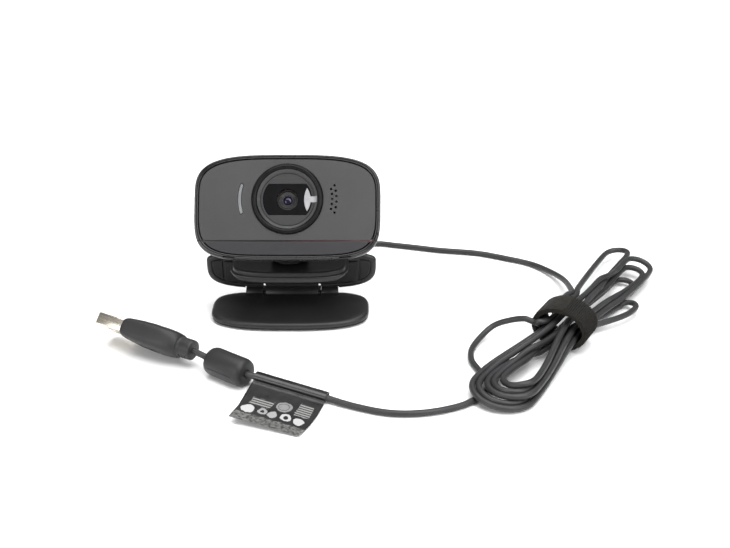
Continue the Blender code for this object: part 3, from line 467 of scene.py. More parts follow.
# name: (colour, roughness, specular, grain, depth, drift of tone, wear, dust)
MOULDED = {
    "chin_black": ((0.028, 0.028, 0.030), 0.34, 0.30, 0.0003, 0.000003, 0.05, 0.05, 0.0),
    "cover_black": ((0.020, 0.020, 0.021), 0.36, 0.45, 0.0005, 0.000012, 0.12, 0.35, 0.10),
    "disc_grey": ((0.030, 0.030, 0.031), 0.45, 0.25, 0.0002, 0.000004, 0.06, 0.10, 0.0),
    "bevel_grey": ((0.055, 0.055, 0.056), 0.34, 0.35, 0.0002, 0.000003, 0.12, 0.20, 0.0),
    "stand_black": ((0.013, 0.013, 0.013), 0.40, 0.36, 0.0005, 0.000010, 0.12, 0.35, 0.06),
    "rubber_black": ((0.012, 0.012, 0.012), 0.62, 0.30, 0.0003, 0.000020, 0.12, 0.20, 0.14),
    "barrel_black": ((0.016, 0.016, 0.017), 0.32, 0.50, 0.0002, 0.000006, 0.12, 0.50, 0.0),
    "cord_mould": ((0.021, 0.021, 0.022), 0.44, 0.26, 0.0004, 0.000012, 0.12, 0.25, 0.05),
    "chip_black": ((0.020, 0.020, 0.022), 0.45, 0.50, 0.0001, 0.000004, 0.12, 0.35, 0.0),
}
CHIN, COVER, DISC, BEVEL_GREY, STAND, RUBBER, BARREL, MOULD, CHIP = [
    moulded(name, *numbers) for name, numbers in MOULDED.items()
]


# ---------------------------------------------------------------- shapes

def placed(name, data, place=WORLD):
    """A new object in the scene."""
    made = bpy.data.objects.new(name, data)
    bpy.context.scene.collection.objects.link(made)
    made.matrix_world = place
    return made


def mesh_from(name, shape):
    mesh = bpy.data.meshes.new(name)
    shape.to_mesh(mesh)
    shape.free()
    return mesh


def evaluated(made):
    """The mesh that an object's modifiers or curve settings make."""
    graph = bpy.context.evaluated_depsgraph_get()
    return bpy.data.meshes.new_from_object(made.evaluated_get(graph))


def dressed(mesh, look, sharp):
    """Smooth shading with edges sharp above an angle in degrees, and one material."""
    mesh.shade_smooth()
    mesh.set_sharp_from_angle(angle=radians(sharp))
    mesh.materials.clear()
    mesh.materials.append(look)
    return mesh


def piece(name, shape, look, body, replaced=(), place=WORLD, sharp=SHARP_ANGLE):
    """A finished bmesh as a piece of the webcam that rides on a CAD body."""
    bmesh.ops.recalc_face_normals(shape, faces=shape.faces)
    made = placed(name, dressed(mesh_from(name, shape), look, sharp), place)
    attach(made, body)
    if replaced:
        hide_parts(*replaced)
    return made


def carved(made, tool_shape, operation="DIFFERENCE"):
    """Cuts a shape from a piece, in the piece's own frame."""
    bmesh.ops.recalc_face_normals(tool_shape, faces=tool_shape.faces)
    tool = placed("tool", mesh_from("tool", tool_shape), made.matrix_world)
    step = made.modifiers.new("step", "BOOLEAN")
    step.operation = operation
    step.object = tool
    look = made.data.materials[0]
    result = evaluated(made)
    made.modifiers.clear()
    made.data = dressed(result, look, SHARP_ANGLE)
    bpy.data.objects.remove(tool)


def joined(made, shape):
    """Joins a shape on to a piece."""
    carved(made, shape, "UNION")


def box(corner, opposite, rounding=0.0, segments=2):
    """A box between two corners, which may be given either way round."""
    low = Vector([min(pair) for pair in zip(corner, opposite)])
    high = Vector([max(pair) for pair in zip(corner, opposite)])
    shape = bmesh.new()
    bmesh.ops.create_cube(shape, size=1)
    bmesh.ops.scale(shape, vec=high - low, verts=shape.verts)
    bmesh.ops.translate(shape, vec=(high + low) / 2, verts=shape.verts)
    if rounding:
        bevelled(shape, shape.edges[:], rounding, segments)
    return shape


def bevelled(shape, edges, offset, segments):
    bmesh.ops.bevel(shape, geom=edges, offset=offset, segments=segments, profile=0.5, affect="EDGES")


def bar(radius, start, end, segments=48, chamfer=0.0):
    """A cylinder between two points, with its end edges chamfered."""
    start, end = Vector(start), Vector(end)
    shape = bmesh.new()
    bmesh.ops.create_cone(
        shape, cap_ends=True, segments=segments, radius1=radius, radius2=radius,
        depth=(end - start).length, matrix=along((start + end) / 2, end - start),
    )
    if chamfer:
        rims = [edge for edge in shape.edges if any(len(face.verts) > 4 for face in edge.link_faces)]
        bevelled(shape, rims, chamfer, 2)
    return shape


def along(start, direction):
    """A frame at start whose Z axis points in a direction."""
    return Matrix.Translation(start) @ Vector(direction).to_track_quat("Z", "Y").to_matrix().to_4x4()


def cross_bar(radius, end, other_end, y, z, segments=48, chamfer=0.0):
    """A cylinder along X between two ends, which may be given either way round."""
    low, high = sorted((end, other_end))
    return bar(radius, (low, y, z), (high, y, z), segments, chamfer)


def bridged(shape, rows, closed):
    """Faces between neighbouring rows of vertices; a row of one vertex is a tip."""
    pairs = list(zip(rows, rows[1:]))
    if closed:
        pairs.append((rows[-1], rows[0]))
    for row, following in pairs:
        count = max(len(row), len(following))
        for i in range(count):
            j = (i + 1) % count
            if len(row) == 1:
                shape.faces.new((row[0], following[j], following[i]))
            elif len(following) == 1:
                shape.faces.new((row[i], row[j], following[0]))
            else:
                shape.faces.new((row[i], row[j], following[j], following[i]))


def loft(rings, closed=False):
    """A solid through rings of equal length; closed joins the last ring to the first."""
    shape = bmesh.new()
    rows = [[shape.verts.new(point) for point in ring] for ring in rings]
    bridged(shape, rows, closed)
    if not closed:
        shape.faces.new(rows[0][::-1])
        shape.faces.new(rows[-1])
    return shape


def turned(profile, steps=96, closed=False):
    """(radius, height) points turned about Z; a radius of 0 ends in a point."""
    shape = bmesh.new()
    rows = []
    for radius, height in profile:
        ring = circle(radius, steps) if radius else [(0, 0)]
        rows.append([shape.verts.new((x, y, height)) for x, y in ring])
    bridged(shape, rows, closed)
    return shape


def add_line(data, points):
    """A spline of straight stretches through points, on a curve."""
    spline = data.splines.new("POLY")
    spline.points.add(len(points) - 1)
    for point, place in zip(spline.points, points):
        point.co = (*place, 1)
    return spline


def plate(name, outlines, low, high, edge, look, body, replaced=(), place=WORLD):
    """A flat plate from height low to high in its place's XY plane, its edges rounded by edge."""
    data = bpy.data.curves.new(name, "CURVE")
    data.dimensions = "2D"
    data.fill_mode = "BOTH"
    data.extrude = (high - low) / 2 - edge
    data.bevel_depth = edge
    data.bevel_resolution = 2
    data.offset = -edge
    for outline in outlines:
        add_line(data, [(x, y, 0) for x, y in outline]).use_cyclic_u = True
    curve = placed(name + "_curve", data)
    shape = bmesh.new()
    shape.from_mesh(evaluated(curve))
    bpy.data.objects.remove(curve)
    bmesh.ops.remove_doubles(shape, verts=shape.verts, dist=WELD_DISTANCE)
    bmesh.ops.translate(shape, vec=(0, 0, (low + high) / 2), verts=shape.verts)
    return piece(name, shape, look, body, replaced, place, SHARP_PLATE_ANGLE)


def circle(radius, count=96, centre=(0.0, 0.0)):
    steps = [tau * i / count for i in range(count)]
    return [(centre[0] + radius * cos(a), centre[1] + radius * sin(a)) for a in steps]


def bulged(half_width, above, below, power_above, power_below, count=160):
    """A closed outline with bulging sides: a superellipse whose halves differ."""
    outline = []
    for i in range(count):
        angle = tau * (i + 0.5) / count
        rise, power = (above, power_above) if sin(angle) > 0 else (below, power_below)
        x = abs(cos(angle)) ** (2 / power) * half_width
        y = abs(sin(angle)) ** (2 / power) * rise
        outline.append((x if cos(angle) > 0 else -x, y if sin(angle) > 0 else -y))
    return outline


def head_outline(side=0.0, top=None, bottom=None):
    """The head's outline about the lens, inset at its sides, its top and its bottom."""
    top = side if top is None else top
    bottom = side if bottom is None else bottom
    return bulged(HEAD_HALF_WIDTH - side, HEAD_ABOVE - top, HEAD_BELOW - bottom, TOP_POWER, BOTTOM_POWER)


def head_ring(depth, side=0.0, top=None, bottom=None):
    return [(x, depth, z) for x, z in head_outline(side, top, bottom)]


def clipped(outline, height, keep_above):
    """The part of a convex outline above or below a height, closed by a straight edge."""
    side = 1 if keep_above else -1
    kept = []
    for (x0, y0), (x1, y1) in zip(outline, outline[1:] + outline[:1]):
        inside, next_inside = side * (y0 - height) >= 0, side * (y1 - height) >= 0
        if inside:
            kept.append((x0, y0))
        if inside != next_inside:
            share = (height - y0) / (y1 - y0)
            kept.append((x0 + share * (x1 - x0), height))
    return kept


def chord_disc(radius, half_height, steps=24):
    """A disc cut off straight above and below."""
    limit = atan2(half_height, (radius**2 - half_height**2) ** 0.5)
    right = [limit * (2 * i / steps - 1) for i in range(steps + 1)]
    angles = right + [pi + a for a in right]
    return [(radius * cos(a), radius * sin(a)) for a in angles]


def arc_band(radius, width, half_angle, count=24, cap_count=6):
    """A curved slot with round ends on the lens's left, with its radius about the lens."""
    points = []
    for way in (1, -1):
        half = way * radians(half_angle)
        reach = radius + way * width / 2
        sweep = [pi + half * (2 * i / count - 1) for i in range(count + 1)]
        points += [(reach * cos(a), reach * sin(a)) for a in sweep]
        end = pi + half
        centre = Vector((radius * cos(end), radius * sin(end)))
        start = end if way > 0 else end + pi
        for i in range(1, cap_count):
            a = start + pi * i / cap_count
            points.append((centre.x + width / 2 * cos(a), centre.y + width / 2 * sin(a)))
    return points


def through(points, steps):
    """A smooth curve read at some steps to each stretch; a point is a vector or a row of numbers."""
    padded = [2 * points[0] - points[1], *points, 2 * points[-1] - points[-2]]
    fine = []
    for before, start, end, after in zip(padded, padded[1:], padded[2:], padded[3:]):
        for step in range(steps):
            t = step / steps
            fine.append(
                0.5 * (
                    2 * start + (end - before) * t
                    + (2 * before - 5 * start + 4 * end - after) * t * t
                    + (3 * start - before - 3 * end + after) * t * t * t
                )
            )
    fine.append(points[-1])
    return fine


def smooth_route(route, spacing):
    """Evenly spaced points on a smooth curve through the route's points."""
    fine = through([Vector(point) for point in route], 20)
    length = sum((b - a).length for a, b in zip(fine, fine[1:]))
    count = max(2, round(length / spacing))
    evenly, walked, target = [fine[0]], 0.0, length / count
    for a, b in zip(fine, fine[1:]):
        stretch = (b - a).length
        while len(evenly) < count and walked + stretch >= target * len(evenly):
            evenly.append(a.lerp(b, (target * len(evenly) - walked) / stretch))
        walked += stretch
    evenly.append(fine[-1])
    return evenly


# ---------------------------------------------------------------- head

def make_bezel():
    """The rim round the face: a rounded outer band, a fine line, a bead and a groove by the plate."""
    # (inset, depth)
    profile = [
        (0.0019, 0.0019), (0.0019, 0.0013), (0.0016, 0.0012), (0.0016, 0.0001), (0.0015, -0.00008),
        (0.00135, -0.00015), (0.0012, -0.0001), (0.00110, 0.00002), (0.00106, 0.00016), (0.00100, 0.0),
        (0.0009, -0.00018), (0.0007, -0.00028), (0.00045, -0.0002), (0.00022, 0.0001), (0.00008, 0.0006),
        (0.0, 0.0012), (0.0, 0.0019),
    ]
    rings = [head_ring(depth, inset) for inset, depth in profile]
    rim = piece("bezel_rim", loft(rings, True), RIM, "head", ["front_bezel"], HEAD)
    front, slit_back, slit_height = -0.001, 0.0014, 0.0005
    slit_edges = [(front, 0), (slit_back, 0), (slit_back, slit_height), (front, slit_height)]
    for side in (-1, 1):
        seam_low = -SEAM_BELOW_LENS - SEAM_HEIGHT * 0.7
        carved(rim, box((side * 0.0300, front, seam_low), (side * 0.0360, 0.0010, -SEAM_BELOW_LENS)))
        slit = [
            [(side * x, depth, z + rise) for depth, rise in slit_edges]
            for x, z in ((0.0194, -0.02255), (0.0240, -0.0220))
        ]
        carved(rim, loft(slit))
    hole_x, hole_z = HEAD_HALF_WIDTH - 0.0010, -0.0134
    carved(rim, bar(0.00036, (hole_x, front, hole_z), (hole_x, 0.0009, hole_z), 20))


def mic_holes():
    """Two curved rows of holes at the right of the lens."""
    holes = []
    # (holes, radius about the lens, half the row's spread in degrees)
    for count, radius, spread in ((5, 0.0168, 13.1), (6, 0.0184, 16.4)):
        for i in range(count):
            angle = radians(spread * (2 * i / (count - 1) - 1))
            holes.append(circle(MIC_HOLE_RADIUS, 20, (radius * cos(angle), radius * sin(angle))))
    return holes


def make_face():
    """The grey plate, the black strip below it, the tinted strip in the seam and the light."""
    edge = head_outline(BEZEL_WIDTH + 0.0001)
    openings = [circle(LENS_RING_RADIUS + 0.0001), arc_band(LIGHT_RADIUS, LIGHT_WIDTH + 0.0003, 17.0)]
    outlines = [clipped(edge, -SEAM_BELOW_LENS, True), *openings, *mic_holes()]
    plate("face_panel", outlines, -0.0012, 0.0, 0.00012, FACE, "head", ["face_plate"], FACING)
    chin = clipped(edge, -SEAM_BELOW_LENS - SEAM_HEIGHT, False)
    plate("chin_panel", [chin], -0.0012, -0.00005, 0.00015, CHIN, "head", ["chin_strip"],
          FACING)
    reach = HEAD_HALF_WIDTH - 0.0020
    middle = -SEAM_BELOW_LENS - SEAM_HEIGHT / 2
    strip = box((-reach, 0.00028, middle - 0.0006), (reach, 0.0011, middle + 0.0006), 0.0001)
    piece("seam_strip", strip, MAROON, "head", place=HEAD)
    outline = arc_band(LIGHT_RADIUS, LIGHT_WIDTH, 16.6)
    plate("light_bar", [outline], -0.0014, 0.00008, 0.00015, LIGHT, "head", ["light_pipe"], FACING)


def make_cover():
    """The rear moulding: a bowl with a split line, vents, screw wells and a knuckle for the tilt pin."""
    # (depth, inset at the sides, at the top, at the bottom)
    sections = [
        (0.0021, 0.0002, 0.0002, 0.0001), (0.0045, 0.0003, 0.0003, 0.0003),
        (0.0080, 0.0012, 0.0012, 0.0017), (0.0110, 0.0034, 0.0028, 0.0048),
        (0.0132, 0.0068, 0.0052, 0.0088), (0.0144, 0.0112, 0.0086, 0.0127),
    ]
    rows = through([np.array(row) for row in sections], 5)
    outer = [head_ring(*row) for row in rows]
    split, cleft = 4, 0.00016
    depth, side, top, bottom = rows[split]
    outer[split:split + 1] = [
        head_ring(depth + step, side + sunk, top + sunk, bottom + sunk)
        for step, sunk in ((-0.00014, 0), (-0.00010, cleft), (0.00010, cleft), (0.00014, 0))
    ]
    back, side, top, bottom = sections[-1]
    for extra, sink in ((0.0018, 0.00022), (0.0045, 0.00034), (0.0075, 0.00040)):
        outer.append(head_ring(back + sink * 0.3, side + extra, top + extra * 0.55, bottom + extra * 0.5))
    wall = 0.0013
    inner = [
        head_ring(min(d, back - wall), s + wall, t + wall, b + wall)
        for d, s, t, b in reversed(sections)
    ]
    inner[0] = head_ring(back - wall, 0.0126, 0.0100, 0.0138)
    shape = loft(outer[::-1] + inner[::-1])
    shell = piece("cover_shell", shape, COVER, "head", ["rear_cover"], HEAD)
    for side in (-1, 1):
        carved(shell, box((side * 0.0155, 0.0024, -0.0235), (side * 0.0240, 0.0031, -0.0205), 0.0002))
        carved(shell, bar(0.0017, (side * SCREW_X, 0.0125, SCREW_Z), (side * SCREW_X, 0.020, SCREW_Z), 40))
    vents, vent_pitch, half_vent = 7, 0.0028, 0.0005
    for i in range(vents):
        x = (i - vents // 2) * vent_pitch
        carved(shell, box((x - half_vent, 0.0120, 0.0032), (x + half_vent, 0.0150, 0.0066), 0.0004))
    axis = Vector((0, TILT_AXIS_DEPTH, -TILT_AXIS_DROP))
    reach = Vector((KNUCKLE_HALF_LENGTH, 0, 0))
    barrel = bar(KNUCKLE_RADIUS, axis - reach, axis + reach, 64, 0.0003)
    knuckle = piece("tilt_knuckle", barrel, COVER, "head", place=HEAD)
    web = box((-reach.x + 0.0002, 0.0100, -0.0180), (reach.x - 0.0002, TILT_AXIS_DEPTH, -0.0148), 0.0003)
    joined(knuckle, web)
    carved(knuckle, bar(TILT_PIN_RADIUS + 0.00015, axis - 2 * reach, axis + 2 * reach, 32))


def make_head_screws():
    """Two pan-head screws with crossed recesses, sunk in the cover's wells."""
    profile = [
        (0, 0.0141), (0.0006, 0.0141), (0.0011, 0.01385), (0.00135, 0.0135), (0.00135, 0.0130),
        (0.0008, 0.0130), (0.0008, 0.0030), (0.0004, 0.0025), (0, 0.0025),
    ]
    for side, x in (("left", -SCREW_X), ("right", SCREW_X)):
        place = HEAD @ Matrix.Translation((x, 0, SCREW_Z)) @ Matrix.Rotation(-pi / 2, 4, "X")
        name = f"head_screw_{side}"
        screw = piece(f"cross_screw_{side}", turned(profile, 48), STEEL, "head", [name], place)
        for long, wide in ((0.00085, 0.00018), (0.00018, 0.00085)):
            carved(screw, box((-long, -wide, 0.0136), (long, wide, 0.0145)))


def make_lens_front():
    """A black band, a grey bevel that slopes inwards, a sunk disc with the window, and a film tab."""
    edge = BAND_INNER_RADIUS + 0.00007
    band = [
        (edge, -0.0020), (edge, 0.00045), (0.0115, 0.0007), (0.0119, 0.00105), (0.0123, 0.0012),
        (0.0127, 0.00115), (0.0130, 0.00095), (0.01325, 0.0006), (LENS_RING_RADIUS, 0.0001),
        (LENS_RING_RADIUS, -0.0012),
    ]
    piece("ring_band", turned(band, 160, True), GLOSS, "head", ["lens_ring"], FACING)
    inner, outer = RING_INNER_RADIUS, BAND_INNER_RADIUS
    bevel = [
        (inner - 0.0001, -0.0020), (inner - 0.0001, -0.0009), (inner, -0.0008), (outer - 0.0001, 0.00042),
        (outer, 0.0005), (outer + 0.00005, 0.0004), (outer + 0.00005, -0.0020),
    ]
    piece("ring_bevel", turned(bevel, 160, True), BEVEL_GREY, "head", place=FACING)
    hole = chord_disc(WINDOW_RADIUS + 0.0001, WINDOW_HALF_HEIGHT + 0.0001)
    disc = [circle(DISC_RADIUS - 0.00018, 128), hole]
    plate("lens_disc", disc, -DISC_DEPTH - 0.0010, -DISC_DEPTH, 0.00008, DISC, "head",
          ["lens_surround"], FACING)
    window = [chord_disc(WINDOW_RADIUS, WINDOW_HALF_HEIGHT), circle(BARREL_RADIUS + 0.0001)]
    plate("window_plate", window, -DISC_DEPTH - 0.0007, -DISC_DEPTH - 0.0001, 0.00010, WINDOW,
          "head", ["lens_window"], FACING)
    middle, tip, half, thin = 0.00735, 0.0045, 0.00112, 0.00014
    steps = [i / 12 - 1 for i in range(25)]
    right = [(middle + 0.0014 * (1 - t * t), tip * t - 0.0001) for t in steps]
    left = [(middle - 0.0011 * (1 - t * t), tip * t - 0.0001) for t in reversed(steps)]
    lower = [point for point in right if point[1] < -half]
    upper = [point for point in right if point[1] > half]
    arm = [(0.0086, -half), (0.0101, -half), (0.0101, half), (0.0086, half)]
    over = -DISC_DEPTH + 0.00004
    outline = lower + arm + upper + left[1:-1]
    plate("film_sliver", [outline], over, over + thin, 0.00005, FILM, "head", ["film_tab"], FACING)
    strip = [
        [(x, -half, z), (x, half, z), (x, half, z + thin), (x, -half, z + thin)]
        for x, z in ((0.0100, over), (0.01025, over + 0.0001), (0.0109, 0.0001), (0.01105, 0.00028))
    ]
    piece("film_arm", loft(strip), FILM, "head", place=FACING)


def make_barrel():
    """The lens barrel's stepped rings round a small coated glass."""
    barrel = [
        (0.0017, -0.0040), (0.0017, -0.0036), (0.0019, -0.0034), (0.0021, -0.0034), (0.0030, -0.0027),
        (0.0032, -0.0027), (0.0033, -0.0030), (0.00345, -0.0030), (0.0035, -0.0024), (0.0036, -0.0021),
        (BARREL_RADIUS - 0.0001, -0.0021), (BARREL_RADIUS - 0.0001, -0.0080), (0.0026, -0.0080),
        (0.0018, -0.0070),
    ]
    made = turned(barrel, 96, True)
    piece("barrel_rings", made, BARREL, "focus_carriage", ["lens_barrel"], FACING)
    dome = [(0.0016 * sin(a), -0.0040 + 0.0006 * cos(a)) for a in (radians(15 * k) for k in range(7))]
    dome = [(0, -0.0034), *dome[1:], (0.0016, -0.0050), (0, -0.0050)]
    piece("coated_lens", turned(dome, 64), LENS, "focus_carriage", ["lens_glass"], FACING)


# ---------------------------------------------------------------- stand

def make_turntable():
    """The swivel disc and the two ears that hold the tilt pin."""
    low, high = PLATFORM_TOP + GAP, PLATFORM_TOP + 0.0016
    r = TURNTABLE_RADIUS
    profile = [
        (0.0018, low), (r - 0.0002, low), (r, low + 0.0002), (r, high - 0.0004), (r - 0.0004, high),
        (0.0018, high),
    ]
    place = Matrix.Translation((0, SWIVEL_Y, 0))
    made = piece("swivel_disc", turned(profile, 96, True), STAND, "neck", ["turntable"], place)
    axis = LENS_CENTRE + HEAD.to_3x3() @ Vector((0, TILT_AXIS_DEPTH, -TILT_AXIS_DROP))
    axis.y -= SWIVEL_Y
    near, far = KNUCKLE_HALF_LENGTH + GAP, KNUCKLE_HALF_LENGTH + GAP + EAR_WIDTH
    for side in (-1, 1):
        stem = box((side * (near + 0.0001), axis.y - KNUCKLE_RADIUS + 0.0001, high - 0.0006),
                   (side * (far - 0.0001), axis.y + 0.0013, axis.z + 0.0002), 0.0003)
        joined(made, stem)
        joined(made, cross_bar(KNUCKLE_RADIUS, side * near, side * far, axis.y, axis.z, 48, 0.0003))
    carved(made, cross_bar(TILT_PIN_RADIUS + 0.0001, -0.01, 0.01, axis.y, axis.z, 32))
    carved(made, bar(0.0031, (0, 0, high - 0.0007), (0, 0, high + 0.001)))


def platform_outline(inset=0.0):
    middle = (PLATFORM_FRONT + WALL_FRONT) / 2 + 0.002
    reach = middle - PLATFORM_FRONT - inset
    half = bulged(PLATFORM_HALF_WIDTH - inset, WALL_FRONT + 0.0005 - middle, reach, 40, PLATFORM_POWER)
    return [(x, middle + y) for x, y in half]


def make_platform():
    """The upper jaw: a rounded plate over a wider ledge, whose lip turns down deepest at the front."""
    def underside(y):
        share = 1 / (1 + exp((y - PLATFORM_FRONT - LIP_DEPTH) / LIP_SOFTNESS))
        return PLATFORM_TOP - LEDGE_HEIGHT - share * (LIP_HEIGHT - LEDGE_HEIGHT)

    # (inset, height over the underside), up the lip's outer face
    lip = [(0.0030, 0.0003), (0.0026, 0.0), (0.0012, 0.0), (0.0005, 0.0003), (0.00012, 0.0008)]
    # (inset, drop below the top), over the ledge and up the rounded plate
    ledge = [
        (0.0, 0.0021), (0.00005, 0.00185), (0.0002, 0.00165), (0.0005, 0.00155), (0.0008, 0.0014),
        (0.0009, 0.0010), (0.00095, 0.0005), (0.0011, 0.0002), (0.0015, 0.00005), (0.0020, 0.0),
        (0.0026, 0.0), (0.0030, 0.0001), (0.0034, 0.00012),
    ]
    top = PLATFORM_TOP
    rings = [[(x, y, top - PLATFORM_THICKNESS) for x, y in platform_outline(0.0036)]]
    rings += [[(x, y, underside(y) + rise) for x, y in platform_outline(inset)] for inset, rise in lip]
    rings += [[(x, y, top - drop) for x, y in platform_outline(inset)] for inset, drop in ledge]
    made = piece("upper_jaw", loft(rings), STAND, "clip")
    carved(made, bar(0.0018, (0, SWIVEL_Y, top - 0.004), (0, SWIVEL_Y, top + 0.001), 40))


def wall_outline(inset=0.0):
    above, below = PLATFORM_TOP - WALL_MIDDLE, WALL_MIDDLE - WALL_BOTTOM
    outline = bulged(WALL_HALF_WIDTH - inset, above - inset, below - inset, WALL_POWER, WALL_POWER)
    return [(x, WALL_MIDDLE + z) for x, z in outline]


def make_wall():
    """The rear wall: a rounded band round a sunk panel, with slots and hinge knuckles below."""
    # (inset, distance behind the wall's front)
    profile = [
        (0.0024, 0.00045), (0.0022, 0.00045), (0.0020, 0.0001), (0.0017, 0.0), (0.0012, 0.00002),
        (0.0006, 0.0002), (0.0002, 0.00055), (0.0, 0.0011), (0.0, 0.0017), (0.0002, 0.0022),
        (0.0006, 0.0026), (0.0012, 0.00278), (0.0030, 0.0028), (0.0031, 0.0026), (0.0033, 0.0026),
        (0.0034, 0.0028),
    ]
    rings = [[(x, WALL_FRONT + back, z) for x, z in wall_outline(inset)] for inset, back in profile]
    made = piece("rear_wall", loft(rings), STAND, "clip", ["clip_body"])
    room, reach = INNER_KNUCKLE
    start, stop = OUTER_KNUCKLE
    web = box((-reach, WALL_FRONT + 0.0002, HINGE_Z), (reach, HINGE_Y + 0.001, WALL_BOTTOM + 0.0023), 0.0002)
    joined(made, web)
    joined(made, cross_bar(HINGE_RADIUS, -reach, reach, HINGE_Y, HINGE_Z, 64, 0.0003))
    for side in (-1, 1):
        apron = box((side * (reach - 0.0001), WALL_FRONT + 0.0001, 0.0042),
                    (side * (start + 0.0001), WALL_FRONT + 0.0007, SLOT_BOTTOM + 0.0012))
        joined(made, apron)
        slot = box((side * (reach + 0.0001), 0, SLOT_BOTTOM + 0.0007),
                   (side * (start - 0.0001), 0.02, SLOT_TOP - 0.0008), 0.0003)
        carved(made, slot)
        knuckle_room = box((side * (start - 0.0001), 0, 0.004),
                           (side * (stop + GAP), 0.02, HINGE_Z + HINGE_RADIUS + 0.0005), 0.0002)
        carved(made, knuckle_room)
    carved(made, cross_bar(0.0026, -room, room, HINGE_Y, HINGE_Z))
    carved(made, cross_bar(HINGE_BORE_RADIUS, -0.02, 0.02, HINGE_Y, HINGE_Z, 32))


def make_pads():
    """Rubber facings on the clip's inner faces, split where the wings begin."""
    low, high = HINGE_Z + HINGE_RADIUS + 0.0029, PLATFORM_TOP - LIP_HEIGHT + 0.0006
    stand_up = Matrix.Translation((0, WALL_FRONT + 0.0004, 0)) @ Matrix.Rotation(pi / 2, 4, "X")
    centre = [(-PAD_HALF_WIDTH, low), (PAD_HALF_WIDTH, low), (PAD_HALF_WIDTH, high), (-PAD_HALF_WIDTH, high)]
    plate("middle_facing", [centre], 0.0, 0.0009, 0.0002, RUBBER, "clip", ["wall_pad"], stand_up)
    for side, name in ((-1, "left"), (1, "right")):
        start = PAD_HALF_WIDTH + PAD_SPLIT
        edge = [(abs(x), z) for x, z in wall_outline(0.0026) if x * side > start]
        edge.sort(key=lambda point: point[1])
        outline = [(side * x, z) for x, z in ((start, edge[0][1]), *edge, (start, edge[-1][1]))]
        plate(f"wing_facing_{name}", [outline], 0.0, 0.0006, 0.0002, RUBBER, "clip",
              [f"wing_pad_{name}"], stand_up)
    edge = clipped(platform_outline(0.0012), PLATFORM_FRONT + LIP_DEPTH + GAP, True)
    pad = clipped(edge, WALL_FRONT - GAP, False)
    top = PLATFORM_TOP - PLATFORM_THICKNESS - GAP / 3
    plate("jaw_facing", [pad, circle(0.0034, 40, (0.0, SWIVEL_Y))], top - 0.0008, top, 0.0002, RUBBER,
          "clip", ["platform_pad"])


def foot_outline(inset=0.0):
    middle = (FOOT_FRONT + FOOT_REAR) / 2
    half = (FOOT_REAR - FOOT_FRONT) / 2 - inset
    outline = bulged(FOOT_HALF_WIDTH - inset, half, half, FOOT_POWER_REAR, FOOT_POWER_FRONT)
    return [(x, middle + y) for x, y in outline]


def make_foot():
    """The leaf: a softly domed top, a split line near its base and knuckles at the back."""
    # (inset, height)
    profile = [
        (0.0012, FOOT_UNDERSIDE), (0.0006, 0.00072), (0.00025, 0.00085), (0.00015, 0.00115),
        (0.0004, 0.00122), (0.0004, 0.00142), (0.0001, 0.00150), (0.0, 0.0018), (0.0, 0.0023),
        (0.00012, 0.0027), (0.0004, 0.00305), (0.0009, 0.00330), (0.0016, 0.00345),
        (0.0030, 0.00356), (0.0050, FOOT_TOP),
    ]
    slope = FOOT_RISE / (FOOT_REAR - FOOT_FRONT)
    rings = []
    for inset, z in profile:
        share = (z - FOOT_UNDERSIDE) / (FOOT_TOP - FOOT_UNDERSIDE)
        rings.append([(x, y, z + share * slope * (y - FOOT_FRONT)) for x, y in foot_outline(inset)])
    made = piece("foot_shell", loft(rings), STAND, "foot", ["foot_leaf"])
    clearance = HINGE_RADIUS + 0.0005
    notch = INNER_KNUCKLE[1] + 2 * GAP
    carved(made, box((-notch, HINGE_Y - clearance, -0.001), (notch, 0.02, 0.006), 0.0004))
    start, stop = OUTER_KNUCKLE
    for side in (-1, 1):
        web = box((side * start, FOOT_REAR - 0.004, FOOT_UNDERSIDE),
                  (side * stop, HINGE_Y, FOOT_TOP + 0.0008), 0.0002)
        joined(made, web)
        barrel = cross_bar(HINGE_RADIUS - 0.0003, side * start, side * stop, HINGE_Y, HINGE_Z, 64, 0.0003)
        joined(made, barrel)
    carved(made, cross_bar(HINGE_BORE_RADIUS, -0.02, 0.02, HINGE_Y, HINGE_Z, 32))


# ---------------------------------------------------------------- cord

def heading(angle, rise):
    return Vector((cos(angle), sin(angle), rise)).normalized()


TIE_TURN = Matrix.Rotation(TIE_HEADING, 4, "Z")
BEAD_AHEAD = heading(FERRITE_HEADING, FERRITE_RISE)
BEAD_START = Vector(TAIL_ROUTE[-1]) + BEAD_AHEAD * GAP
BEAD_END = BEAD_START + BEAD_AHEAD * (FERRITE_LENGTH + GAP)
PLUG_START = BEAD_END + heading(END_HEADING, END_RISE) * END_LENGTH
PLUG_AHEAD = heading(PLUG_HEADING, PLUG_RISE)

# Places in the hank are in millimetres: s along it, t across it to the left, z above the table.
MILLIMETRE = 0.001
# Where the lead comes down into the tie, and where the side loop leaves it
LEAD_END = (14.0, 6.4, 9.8)
LOOP_START = (-8.2, 6.0, 10.6)


def in_hank(s, t, z):
    """A place in the hank, in the world."""
    place = TIE_TURN @ Vector((s, t, 0)) * MILLIMETRE
    return Vector((TIE_CENTRE.x + place.x, TIE_CENTRE.y + place.y, z * MILLIMETRE))


# The strands' places (t, z) in the tie, in the order that the cord passes them
TIE_PLACES = [
    (5.4, 7.0), (-5.9, 5.6), (2.0, 9.9), (-3.5, 3.2), (-0.9, 4.4), (-4.5, 8.0),
    (-0.4, 7.2), (-3.3, 5.7), (1.6, 5.2), (-1.8, 9.6), (4.2, 9.6),
]
